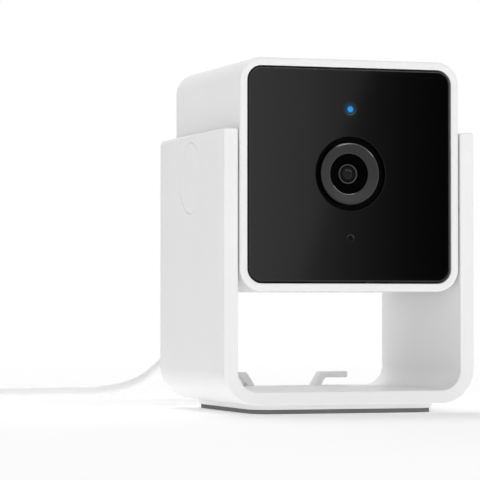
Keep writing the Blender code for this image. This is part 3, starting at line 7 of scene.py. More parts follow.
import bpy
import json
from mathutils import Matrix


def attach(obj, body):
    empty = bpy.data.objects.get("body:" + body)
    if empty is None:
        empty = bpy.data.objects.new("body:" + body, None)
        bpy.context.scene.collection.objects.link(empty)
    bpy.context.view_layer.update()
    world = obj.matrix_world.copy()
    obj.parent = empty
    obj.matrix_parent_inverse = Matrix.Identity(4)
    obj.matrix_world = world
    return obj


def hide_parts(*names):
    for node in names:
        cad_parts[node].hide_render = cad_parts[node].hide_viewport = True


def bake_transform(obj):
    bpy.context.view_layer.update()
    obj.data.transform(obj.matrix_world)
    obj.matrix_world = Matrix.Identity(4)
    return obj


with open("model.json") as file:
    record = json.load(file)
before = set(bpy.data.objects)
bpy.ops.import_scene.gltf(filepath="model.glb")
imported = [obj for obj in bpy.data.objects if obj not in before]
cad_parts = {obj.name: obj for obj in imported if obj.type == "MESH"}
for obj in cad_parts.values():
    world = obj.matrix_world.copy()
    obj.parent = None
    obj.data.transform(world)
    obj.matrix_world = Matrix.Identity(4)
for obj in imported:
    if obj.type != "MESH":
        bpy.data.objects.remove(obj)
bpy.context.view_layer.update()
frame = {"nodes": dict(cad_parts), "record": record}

import json
import logging
import math
from collections.abc import Callable, Iterator, Sequence
from contextlib import contextmanager
from dataclasses import dataclass, field
from enum import Enum
from typing import Any

import bmesh
import bpy
import numpy as np
from mathutils import Vector

MM = 0.001
CUT = 1.0 * MM  # a cutter runs this far past the face that it opens
ROUND = 96  # sides of a large round
SMALL = 40  # sides of a small one
SMOOTH = math.radians(32)
MERGE = 0.001 * MM
PIVOT_HEIGHT = 53.5 * MM  # of the tilt axis above the floor

log = logging.getLogger("pet_camera")
Point = Sequence[float]


class Way(Enum):
    """The directions in which pieces point."""

    LEFT = (-1, 0, 0)
    RIGHT = (1, 0, 0)
    FRONT = (0, -1, 0)
    REAR = (0, 1, 0)
    DOWN = (0, 0, -1)
    UP = (0, 0, 1)

    @property
    def vector(self) -> Vector:
        """The direction as a vector."""
        return Vector(self.value)


class Body(Enum):
    """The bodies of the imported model."""

    STAND = "stand"
    CAMERA = "camera"
    BUTTON = "reset_button"
    FILTER = "ir_filter"


class Kind(Enum):
    """What a selection in edit mode is made of."""

    EDGE = "EDGE"
    FACE = "FACE"


# Finishes


def linear(code: str) -> tuple[float, float, float, float]:
    """An sRGB colour as linear light.

    Args:
        code: Six hex digits.

    Returns:
        Red, green, blue and an alpha of 1.
    """
    parts = [int(code[i : i + 2], 16) / 255 for i in (0, 2, 4)]
    light = [c / 12.92 if c <= 0.04045 else ((c + 0.055) / 1.055) ** 2.4 for c in parts]
    return (*light, 1.0)


def add_node(tree: bpy.types.NodeTree, kind: str, settings: dict[str, Any], inputs: dict[Any, Any]) -> Any:
    """Adds a node with its settings and links.

    Args:
        tree: The node tree that it goes into.
        kind: Blender's name for the kind of node.
        settings: Values by property name.
        inputs: A value, or the socket to link, by input name or number.

    Returns:
        The node.
    """
    node = tree.nodes.new(kind)
    for name, value in settings.items():
        setattr(node, name, value)
    for name, value in inputs.items():
        if isinstance(value, bpy.types.NodeSocket):
            tree.links.new(value, node.inputs[name])
        else:
            node.inputs[name].default_value = value
    return node


@dataclass(frozen=True)
class Finish:
    """A surface as it comes from the mould: fine spark-eroded grain and a little unevenness.

    The two colours are what the grain shades between, and relief is how deep the grain is.
    """

    name: str
    slot: str
    colour: str
    shade: str
    roughness: float
    spread: float = 0.04
    grain: float = 0.6 * MM
    relief: float = 0.004 * MM
    metallic: float = 0.0
    ior: float = 1.5
    specular: float = 0.5
    coat: float = 0.0

    def material(self) -> bpy.types.Material:
        """Returns this finish's material, made on first use."""
        made = bpy.data.materials.get(self.name)
        if made is None:
            made = bpy.data.materials.new(self.name)
            made.use_nodes = True
            made.node_tree.nodes.clear()
            self.build(made.node_tree)
        return made

    def build(self, tree: bpy.types.NodeTree) -> None:
        """Makes the shader.

        Args:
            tree: The material's empty node tree.
        """
        place = add_node(tree, "ShaderNodeTexCoord", {}, {}).outputs["Object"]
        tone, height = self.pattern(tree, place)
        colour = add_node(
            tree, "ShaderNodeMix", {"data_type": "RGBA"}, {0: tone, 6: linear(self.colour), 7: linear(self.shade)}
        ).outputs[2]
        limits = {"To Min": self.roughness - self.spread, "To Max": self.roughness + self.spread}
        rough = add_node(tree, "ShaderNodeMapRange", {}, {"Value": tone, **limits}).outputs[0]
        bump = add_node(tree, "ShaderNodeBump", {}, {"Strength": 1.0, "Distance": self.relief, "Height": height})
        inputs = {"Base Color": colour, "Roughness": rough, "Normal": bump.outputs[0], "Metallic": self.metallic}
        if not self.metallic:
            inputs |= {"IOR": self.ior, "Specular IOR Level": self.specular}
        if self.coat:
            inputs["Coat Weight"] = self.coat
        shader = add_node(tree, "ShaderNodeBsdfPrincipled", {}, {**inputs, **self.extra(tree, place)})
        add_node(tree, "ShaderNodeOutputMaterial", {}, {"Surface": shader.outputs[0]})

    def pattern(self, tree: bpy.types.NodeTree, place: Any) -> tuple[Any, Any]:
        """Makes the pattern.

        Args:
            tree: The material's node tree.
            place: The socket with the point's object coordinates.

        Returns:
            The sockets that drive the colour and the height.
        """
        fine = add_node(
            tree, "ShaderNodeTexNoise", {}, {"Vector": place, "Scale": 1 / self.grain, "Detail": 3.0}
        ).outputs[0]
        broad = add_node(
            tree, "ShaderNodeTexNoise", {}, {"Vector": place, "Scale": 0.04 / self.grain, "Detail": 2.0}
        ).outputs[0]
        tone = add_node(tree, "ShaderNodeMath", {"operation": "MULTIPLY_ADD"}, {0: fine, 1: 0.35, 2: broad})
        return add_node(tree, "ShaderNodeMath", {}, {0: tone.outputs[0], 1: -0.17}).outputs[0], fine

    def extra(self, tree: bpy.types.NodeTree, place: Any) -> dict[str, Any]:
        """More inputs for the shader, for finishes that need them."""
        return {}

    def dress(self, *pieces: bpy.types.Object) -> None:
        """Gives the pieces this finish.

        Args:
            pieces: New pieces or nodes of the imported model.
        """
        for piece in pieces:
            if piece.type == "MESH" and not piece.data.materials:
                piece.data.materials.append(self.material())
            for slot in piece.material_slots:
                slot.material = self.material()


@dataclass(frozen=True)
class Brushed(Finish):
    """Metal with fine parallel scratches along one axis."""

    along: tuple[float, float, float] = (0.02, 1.0, 1.0)

    def pattern(self, tree: bpy.types.NodeTree, place: Any) -> tuple[Any, Any]:
        """Makes scratches: noise that is stretched along the brushing."""
        scale = [share / self.grain for share in self.along]
        drawn = add_node(tree, "ShaderNodeMapping", {}, {"Vector": place, "Scale": scale}).outputs[0]
        lines = add_node(tree, "ShaderNodeTexNoise", {}, {"Vector": drawn, "Scale": 1.0, "Detail": 4.0})
        return lines.outputs[0], lines.outputs[0]


@dataclass(frozen=True)
class Turned(Finish):
    """A piece from the lathe: fine rings round an axis that points to the front, polished edges."""

    centre: tuple[float, float, float] = (0.0, 0.0, 53.9 * MM)
    polished: tuple[float, float] = (4.88 * MM, 6.62 * MM)
    polish: float = 0.1

    def pattern(self, tree: bpy.types.NodeTree, place: Any) -> tuple[Any, Any]:
        """Makes rings round the axis, a little broken by noise."""
        shift = [-c for c in self.centre]
        middle = add_node(tree, "ShaderNodeMapping", {}, {"Vector": place, "Location": shift}).outputs[0]
        settings = {"wave_type": "RINGS", "rings_direction": "Y"}
        # Blender's wave repeats every 0.314 of its scaled distance
        inputs = {"Vector": middle, "Scale": 0.314 / self.grain, "Distortion": 0.6, "Detail": 2.0}
        rings = add_node(tree, "ShaderNodeTexWave", settings, inputs)
        return rings.outputs[1], rings.outputs[1]

    def extra(self, tree: bpy.types.NodeTree, place: Any) -> dict[str, Any]:
        """Cut edges: inside the first radius and outside the second one the surface is polished."""
        flat = add_node(tree, "ShaderNodeVectorMath", {"operation": "MULTIPLY"}, {0: place, 1: (1, 0, 1)}).outputs[0]
        middle = (self.centre[0], 0, self.centre[2])
        out = add_node(tree, "ShaderNodeVectorMath", {"operation": "DISTANCE"}, {0: flat, 1: middle}).outputs["Value"]
        inner, outer = self.polished
        inside = add_node(tree, "ShaderNodeMath", {"operation": "LESS_THAN"}, {0: out, 1: inner}).outputs[0]
        outside = add_node(tree, "ShaderNodeMath", {"operation": "GREATER_THAN"}, {0: out, 1: outer}).outputs[0]
        edge = add_node(tree, "ShaderNodeMath", {"operation": "MAXIMUM"}, {0: inside, 1: outside}).outputs[0]
        limits = {"To Min": self.roughness, "To Max": self.polish}
        return {"Roughness": add_node(tree, "ShaderNodeMapRange", {}, {"Value": edge, **limits}).outputs[0]}


@dataclass(frozen=True)
class TintedGlass(Finish):
    """Black acrylic front glass: polished, a trace of wiping marks, and a painted glow round the light."""

    light: tuple[float, float, float] = (0.0, -24.9 * MM, 68.4 * MM)
    halo: float = 2.2 * MM
    glow: str = "1a3844"

    def extra(self, tree: bpy.types.NodeTree, place: Any) -> dict[str, Any]:
        """The glow, painted on the glass as emission: it stands in for light that spreads inside the sheet, and fades
        with the distance from the light.
        """
        apart = add_node(tree, "ShaderNodeVectorMath", {"operation": "DISTANCE"}, {0: place, 1: self.light})
        limits = {"From Min": 0.9 * MM, "From Max": self.halo, "To Min": 1.0, "To Max": 0.0}
        near = add_node(tree, "ShaderNodeMapRange", {}, {"Value": apart.outputs["Value"], **limits}).outputs[0]
        faded = add_node(tree, "ShaderNodeMath", {"operation": "POWER"}, {0: near, 1: 2.0}).outputs[0]
        strength = add_node(tree, "ShaderNodeMath", {"operation": "MULTIPLY"}, {0: faded, 1: 0.9}).outputs[0]
        # The emission is a painted glow on the glass, fading round the light pipe
        return {"Emission Color": linear(self.glow), "Emission Strength": strength}


@dataclass(frozen=True)
class Lamp(Finish):
    """A light pipe: clear plastic lit from behind, brightest in its middle."""

    light: tuple[float, float, float] = (0.0, -24.9 * MM, 68.4 * MM)
    core: str = "0f95e9"
    rim: str = "04202f"

    def extra(self, tree: bpy.types.NodeTree, place: Any) -> dict[str, Any]:
        """Light that falls off from the middle of the pipe's face to its wall."""
        apart = add_node(tree, "ShaderNodeVectorMath", {"operation": "DISTANCE"}, {0: place, 1: self.light})
        limits = {"From Min": 0.5 * MM, "From Max": 0.82 * MM}
        out = add_node(tree, "ShaderNodeMapRange", {}, {"Value": apart.outputs["Value"], **limits}).outputs[0]
        colours = {0: out, 6: linear(self.core), 7: linear(self.rim)}
        colour = add_node(tree, "ShaderNodeMix", {"data_type": "RGBA"}, colours).outputs[2]
        return {"Emission Color": colour, "Emission Strength": 0.98}


@dataclass(frozen=True)
class Printed(Finish):
    """A printed circuit board: copper tracks that show through the lacquer as a paler pattern."""

    def pattern(self, tree: bpy.types.NodeTree, place: Any) -> tuple[Any, Any]:
        """Makes tracks: the borders of square cells."""
        settings = {"distance": "CHEBYCHEV", "feature": "F1"}
        cells = add_node(tree, "ShaderNodeTexVoronoi", settings, {"Vector": place, "Scale": 1 / self.grain})
        limits = {"From Min": 0.42, "From Max": 0.5}
        tracks = add_node(tree, "ShaderNodeMapRange", {}, {"Value": cells.outputs[0], **limits}).outputs[0]
        return tracks, tracks


class Surface(Enum):
    """Every finish of this object, the one that a slot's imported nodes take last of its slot."""

    # Satin ABS from a fine spark-eroded mould: even, near-white, with a soft wide gloss. The grain
    # is really 0.05 mm and is drawn coarser, or it wouldn't show.
    STAND_ABS = Finish("stand_moulded_abs", "white_plastic", "f8f8f8", "f5f5f5", 0.42)
    # Smoother ABS and polycarbonate blend: a little brighter gloss than the stand
    HOUSING_ABS = Finish("housing_moulded_abs", "housing_plastic", "f7f7f7", "f4f4f4", 0.36)
    # Polished black acrylic: a mirror for the studio, almost no light from inside, and a painted glow round the light
    FRONT_GLASS = TintedGlass(
        "front_polished_acrylic", "black_glass", "060607", "040405", 0.05, 0.015, 9 * MM, 0.0, ior=1.52
    )
    # Turned and dyed plastic trim: flat dark grey with faint rings
    TRIM = Turned(
        "trim_turned_plastic", "trim_plastic", "121213", "0e0e0f", 0.5, 0.05, 0.35 * MM, 0.003 * MM
    )
    # Matt black paint that swallows light inside the lens
    BAFFLE = Finish("lens_matt_black_paint", "black_plastic", "040404", "020202", 0.85, 0.05, specular=0.02)
    # Dust mesh of woven polyester: dull near-black, its threads drawn far wider than they are
    MESH = Finish(
        "woven_polyester_mesh", "black_plastic", "0d0d0e", "080809", 0.7, 0.05, 0.12 * MM, 0.01 * MM, specular=0.1
    )
    # Moulded black ABS: a dull dark grey where light falls on it
    BLACK_ABS = Finish("moulded_black_abs", "black_plastic", "0f0f10", "0a0a0b", 0.6, 0.05, specular=0.2)
    # Nitrile rubber of the foot: matt, its colour lightened to a mid grey, which is painted light that brightens the
    # foot in the shade under the stand
    FOOT_RUBBER = Finish("foot_nitrile_rubber", "black_rubber", "78787b", "6a6a6d", 0.85, 0.06, 0.5 * MM, 0.02 * MM)
    # The seals are of the same rubber, in its own near-black colour
    RUBBER = Finish(
        "moulded_nitrile_rubber", "black_rubber", "0d0d0e", "090909", 0.85, 0.06, 0.5 * MM, 0.01 * MM, specular=0.06
    )
    # Silicone: soft grey, matt
    SILICONE = Finish("moulded_grey_silicone", "grey_rubber", "77797c", "6b6d70", 0.7, 0.06, 0.6 * MM, 0.01 * MM)
    # Aluminium brushed along its length: long soft highlights across the scratches, really
    # 0.03 mm apart and drawn wider
    ALUMINIUM = Brushed(
        "brushed_aluminium", "brushed_metal", "fbfbfb", "ededee", 0.36, 0.08, 0.12 * MM, 0.002 * MM, 0.75
    )
    # Steel blackened in a bath: dark, slightly mottled
    BLACK_STEEL = Finish(
        "blackened_steel", "dark_metal", "57585b", "434447", 0.36, 0.08, 0.3 * MM, 0.002 * MM, 1.0
    )
    # Coated lens glass: nearly black, a hard gloss that the coating dims, and a matt blackened rim
    LENS = Turned(
        "coated_lens_glass", "lens_glass", "050507", "040405", 0.8, 0.01, 1 * MM, 0.0, specular=0.2,
        polished=(1.15 * MM, 9 * MM), polish=0.04,
    )
    # Clear light pipe with a blue light behind it
    LIGHT = Lamp("lit_blue_light_pipe", "blue_light", "0b2a3c", "092536", 0.3, 0.05, 0.8 * MM, 0.0, specular=0.2)
    # Lacquered boards with copper tracks under the lacquer
    GREEN_BOARD = Printed("green_lacquered_board", "circuit_board", "11402a", "2a6a48", 0.4, 0.06, 1.6 * MM)
    BLACK_BOARD = Printed("black_lacquered_board", "black_board", "131517", "22262a", 0.45, 0.06, 1.6 * MM)
    # Moulded epoxy of a chip: matt with a fine sandy grain
    EPOXY = Finish("moulded_epoxy", "chip_black", "1b1b1d", "141416", 0.6, 0.06, 0.3 * MM, 0.01 * MM)
    # Tinned steel: soft grey mirror with cloudy patches
    TINPLATE = Finish("tinned_steel", "tin_shield", "c3c5c7", "a9abae", 0.32, 0.08, 0.5 * MM, 0.002 * MM, 1.0)
    # Polyimide film: amber, glossy, faintly rippled
    POLYIMIDE = Finish("polyimide_film", "amber_film", "b9722f", "9c5c22", 0.3, 0.08, 1.2 * MM, 0.01 * MM)
    # Pressed paper cone: fibres that catch light unevenly
    PAPER = Finish("pressed_paper", "paper_cone", "2c2b2a", "1f1e1d", 0.95, 0.04, 0.4 * MM, 0.05 * MM)
    # Extruded PVC jacket: soft white with a dull gloss
    PVC = Finish("extruded_pvc_jacket", "cord_jacket", "fafafa", "f5f5f5", 0.48, 0.05, 0.5 * MM, 0.006 * MM)

    def dress(self, *pieces: bpy.types.Object) -> None:
        """Gives the pieces this finish."""
        self.value.dress(*pieces)


# Modelling steps


def only(*pieces: bpy.types.Object) -> None:
    """Selects these pieces and nothing else, and makes the first one active."""
    bpy.ops.object.select_all(action="DESELECT")
    for piece in pieces:
        piece.select_set(True)
    bpy.context.view_layer.objects.active = pieces[0] if pieces else None


def settled(name: str) -> bpy.types.Object:
    """Names the active object and moves its place, turn and scale into its mesh.

    Args:
        name: The object's new name.

    Returns:
        The object, which then sits at the origin.
    """
    piece = bpy.context.active_object
    piece.name = piece.data.name = name
    only(piece)
    bpy.ops.object.transform_apply(location=True, rotation=True, scale=True)
    return piece


def block(name: str, low: Point, high: Point) -> bpy.types.Object:
    """Adds a plain block between two corners, as a start."""
    only()
    middle, size = [(a + b) / 2 for a, b in zip(low, high)], [b - a for a, b in zip(low, high)]
    bpy.ops.mesh.primitive_cube_add(size=1, location=middle, scale=size)
    return settled(name)


def rod(name: str, place: Point, way: Way, radius: float, length: float, sides: int = ROUND) -> bpy.types.Object:
    """Adds a plain cylinder from a place along a direction, as a start or a cutter."""
    only()
    turn = way.vector.to_track_quat("Z", "Y").to_euler()
    middle = Vector(place) + way.vector * length / 2
    bpy.ops.mesh.primitive_cylinder_add(
        vertices=sides, radius=radius, depth=length, location=middle, rotation=turn
    )
    return settled(name)


@contextmanager
def editing(piece: bpy.types.Object) -> Iterator[None]:
    """Opens one piece in edit mode, with nothing selected, and closes it again."""
    only(piece)
    bpy.ops.object.mode_set(mode="EDIT")
    bpy.ops.mesh.select_all(action="DESELECT")
    yield
    bpy.ops.object.mode_set(mode="OBJECT")


def pick(kind: Kind, test: Callable[[Any], bool]) -> None:
    """Selects, in the piece that is open, only the edges or faces that pass a test.

    Args:
        kind: Edges or faces.
        test: What says whether one of them is selected.
    """
    bpy.ops.mesh.select_mode(type=kind.value)
    bpy.ops.mesh.select_all(action="DESELECT")
    data = bpy.context.edit_object.data
    mesh = bmesh.from_edit_mesh(data)
    mesh.normal_update()
    for item in list(mesh.edges if kind is Kind.EDGE else mesh.faces):
        if test(item):
            item.select_set(True)
    mesh.select_flush_mode()
    bmesh.update_edit_mesh(data)


def looks(way: Way) -> Callable[[Any], bool]:
    """A test for faces that look one way."""
    return lambda face: face.normal.dot(way.vector) > 0.999


def runs(way: Way, where: Callable[[Vector], bool] = lambda point: True) -> Callable[[Any], bool]:
    """A test for edges along a direction whose middle is where the second test says."""

    def test(edge: Any) -> bool:
        a, b = (corner.co for corner in edge.verts)
        return abs((b - a).normalized().dot(way.vector)) > 0.999 and where((a + b) / 2)

    return test


def rim_of(
    way: Way, level: float, outside: bool, round_point: Point | None = None, reach: float = math.inf
) -> Callable[[Any], bool]:
    """A test for the edges between a flat face that looks one way and its walls.

    Args:
        way: Which way the flat face looks.
        level: How far along that direction it lies.
        outside: True for walls that look away from the point, False for those of a hole round it.
        round_point: The middle of the rim, the tilt axis if none is given.
        reach: How far from the point the rim goes.

    Returns:
        The test.
    """
    centre = Vector(round_point or (0, 0, PIVOT_HEIGHT))

    def test(edge: Any) -> bool:
        if any(abs(corner.co.dot(way.vector) - level) > 0.01 * MM for corner in edge.verts):
            return False
        flat = [f for f in edge.link_faces if f.normal.dot(way.vector) > 0.99]
        walls = [f for f in edge.link_faces if abs(f.normal.dot(way.vector)) < 0.5]
        if not (flat and walls):
            return False
        out = (edge.verts[0].co + edge.verts[1].co) / 2 - centre
        out -= way.vector * out.dot(way.vector)
        return out.length < reach and (walls[0].normal.dot(out) > 0) == outside

    return test


def bevel(width: float, steps: int = 4) -> None:
    """Rounds the edges that are selected in the open piece."""
    bpy.ops.mesh.bevel(offset=width, segments=steps, affect="EDGES")


def rounded_block(
    name: str, low: Point, high: Point, along: Way, corner: float, steps: int = 12
) -> bpy.types.Object:
    """A block with its four edges along one direction rounded."""
    piece = block(name, low, high)
    with editing(piece):
        pick(Kind.EDGE, runs(along))
        bevel(corner, steps)
    return piece


def apply_modifier(piece: bpy.types.Object, kind: str, **settings: Any) -> None:
    """Adds a modifier, gives it its settings and applies it."""
    only(piece)
    modifier = piece.modifiers.new(kind.lower(), kind)
    for name, value in settings.items():
        setattr(modifier, name, value)
    bpy.ops.object.modifier_apply(modifier=modifier.name)


def combine(piece: bpy.types.Object, operation: str, *tools: bpy.types.Object) -> None:
    """Cuts each tool from the piece, or moulds it on, and removes the tool."""
    for tool in tools:
        apply_modifier(piece, "BOOLEAN", operation=operation, object=tool, solver="EXACT")
        bpy.data.objects.remove(tool, do_unlink=True)
    with editing(piece):
        bpy.ops.mesh.select_all(action="SELECT")
        bpy.ops.mesh.remove_doubles(threshold=MERGE)
        bpy.ops.mesh.dissolve_degenerate(threshold=MERGE)


def soften(piece: bpy.types.Object, width: float, steps: int = 3) -> None:
    """Rounds every edge that is still sharp."""
    settings = {"width": width, "segments": steps, "limit_method": "ANGLE", "angle_limit": SMOOTH}
    apply_modifier(piece, "BEVEL", **settings)


def turned(
    name: str, place: Point, way: Way, profile: Sequence[tuple[float, float]], sides: int = ROUND
) -> bpy.types.Object:
    """Draws a circle out along a profile, as on a lathe.

    Args:
        name: The piece's name.
        place: Where the profile's heights start.
        way: Which way they run.
        profile: (radius, height) pairs. A first or last radius of 0 closes that end in a point; a
            profile that ends where it starts makes a ring; other ends get a flat face.
        sides: How many sides the round has.

    Returns:
        The piece.
    """
    only()
    base, axis = Vector(place), way.vector
    across = Vector([1 - abs(part) for part in axis])
    tip = 0.02 * MM  # a pole is drawn this small and then merged to a point
    radii = [max(radius, tip) for radius, _ in profile]
    start = base + axis * profile[0][1]
    turn = axis.to_track_quat("Z", "Y").to_euler()
    bpy.ops.mesh.primitive_circle_add(vertices=sides, radius=radii[0], location=start, rotation=turn)
    piece = settled(name)
    ring = profile[0] == profile[-1]
    with editing(piece):
        pick(Kind.EDGE, lambda edge: True)
        if not ring:
            if profile[0][0]:
                bpy.ops.mesh.edge_face_add()
            else:
                bpy.ops.mesh.extrude_edges_move()
                bpy.ops.mesh.merge(type="CENTER")
            pick(Kind.EDGE, lambda edge: len(edge.link_faces) == 1)
        for i in range(1, len(profile)):
            step = axis * (profile[i][1] - profile[i - 1][1])
            bpy.ops.mesh.extrude_edges_move(TRANSFORM_OT_translate={"value": step})
            ratio = radii[i] / radii[i - 1]
            size = across * ratio + Vector([abs(part) for part in axis])
            centre = base + axis * profile[i][1]
            bpy.ops.transform.resize(value=size, center_override=centre)
        if not ring:
            if profile[-1][0]:
                bpy.ops.mesh.edge_face_add()
            else:
                bpy.ops.mesh.merge(type="CENTER")
        bpy.ops.mesh.select_all(action="SELECT")
        bpy.ops.mesh.remove_doubles(threshold=MERGE)
        bpy.ops.mesh.normals_make_consistent(inside=False)
    return piece


def copy_of(piece: bpy.types.Object, name: str, shift: Point) -> bpy.types.Object:
    """A copy with its own mesh, moved by a shift."""
    only(piece)
    bpy.ops.object.duplicate(linked=False)
    bpy.ops.transform.translate(value=shift)
    return settled(name)


def finished(
    piece: bpy.types.Object, body: Body, surface: Surface, *nodes: str, smooth: float = SMOOTH
) -> bpy.types.Object:
    """Shades a piece, gives it its finish and hangs it on its body.

    Args:
        piece: The piece, modelled in its place.
        body: The body that it moves with.
        surface: Its finish.
        nodes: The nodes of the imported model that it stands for.
        smooth: The angle up to which its faces are shaded as one surface.

    Returns:
        The piece.
    """
    only(piece)
    bpy.ops.object.shade_smooth_by_angle(angle=smooth)
    apply_modifier(piece, "WEIGHTED_NORMAL", mode="FACE_AREA", weight=80, keep_sharp=True)
    surface.dress(piece)
    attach(piece, body.value)
    if nodes:
        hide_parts(*nodes)
    log.info("%s: %d faces, %s", piece.name, len(piece.data.polygons), surface.value.name)
    return piece


# The pieces


@dataclass
class Base:
    """The brushed metal plate under the stand and the rubber pad that it stands on."""

    pad_size: tuple[float, float] = (43.2 * MM, 44.2 * MM)
    pad_top: float = 0.94 * MM
    plate_size: tuple[float, float] = (44.6 * MM, 45.6 * MM)
    plate_bottom: float = 0.96 * MM
    plate_top: float = 2.03 * MM
    flare: float = 0.55 * MM
    corner: float = 5.2 * MM
    screw_spread: float = 30 * MM
    screw_head: float = 2.1 * MM

    def plate(self) -> bpy.types.Object:
        """The plate, narrower at its bottom, with holes for its two screws."""
        (wide, deep), low = self.plate_size, self.plate_bottom
        corners = (-wide / 2, -deep / 2, low), (wide / 2, deep / 2, self.plate_top)
        plate = rounded_block("base_plate_brushed", *corners, Way.UP, self.corner, 16)
        with editing(plate):
            pick(Kind.FACE, looks(Way.DOWN))
            size = ((wide - self.flare) / wide, (deep - self.flare) / deep, 1)
            bpy.ops.transform.resize(value=size, center_override=(0, 0, low))
        through = 2 * CUT + self.plate_top - low
        for way in (-1, 1):
            place = (0, way * self.screw_spread / 2, low - CUT)
            combine(plate, "DIFFERENCE", rod("hole", place, Way.UP, self.screw_head, through, SMALL))
        soften(plate, 0.08 * MM, 2)
        return finished(plate, Body.STAND, Surface.ALUMINIUM, "base_plate")

    def pad(self) -> bpy.types.Object:
        """The pad, with a shallow step inside its edge underneath."""
        wide, deep = self.pad_size
        corners = (-wide / 2, -deep / 2, 0), (wide / 2, deep / 2, self.pad_top)
        pad = rounded_block("foot_pad_rubber", *corners, Way.UP, self.corner - 0.7 * MM, 16)
        with editing(pad):
            pick(Kind.FACE, looks(Way.DOWN))
            bpy.ops.mesh.inset(thickness=2.2 * MM)
            bpy.ops.mesh.inset(thickness=0.15 * MM)
            bpy.ops.transform.translate(value=(0, 0, 0.12 * MM))
        soften(pad, 0.12 * MM, 2)
        return finished(pad, Body.STAND, Surface.FOOT_RUBBER, "foot_pad")

    def build(self) -> None:
        """Makes both pieces."""
        self.plate()
        self.pad()


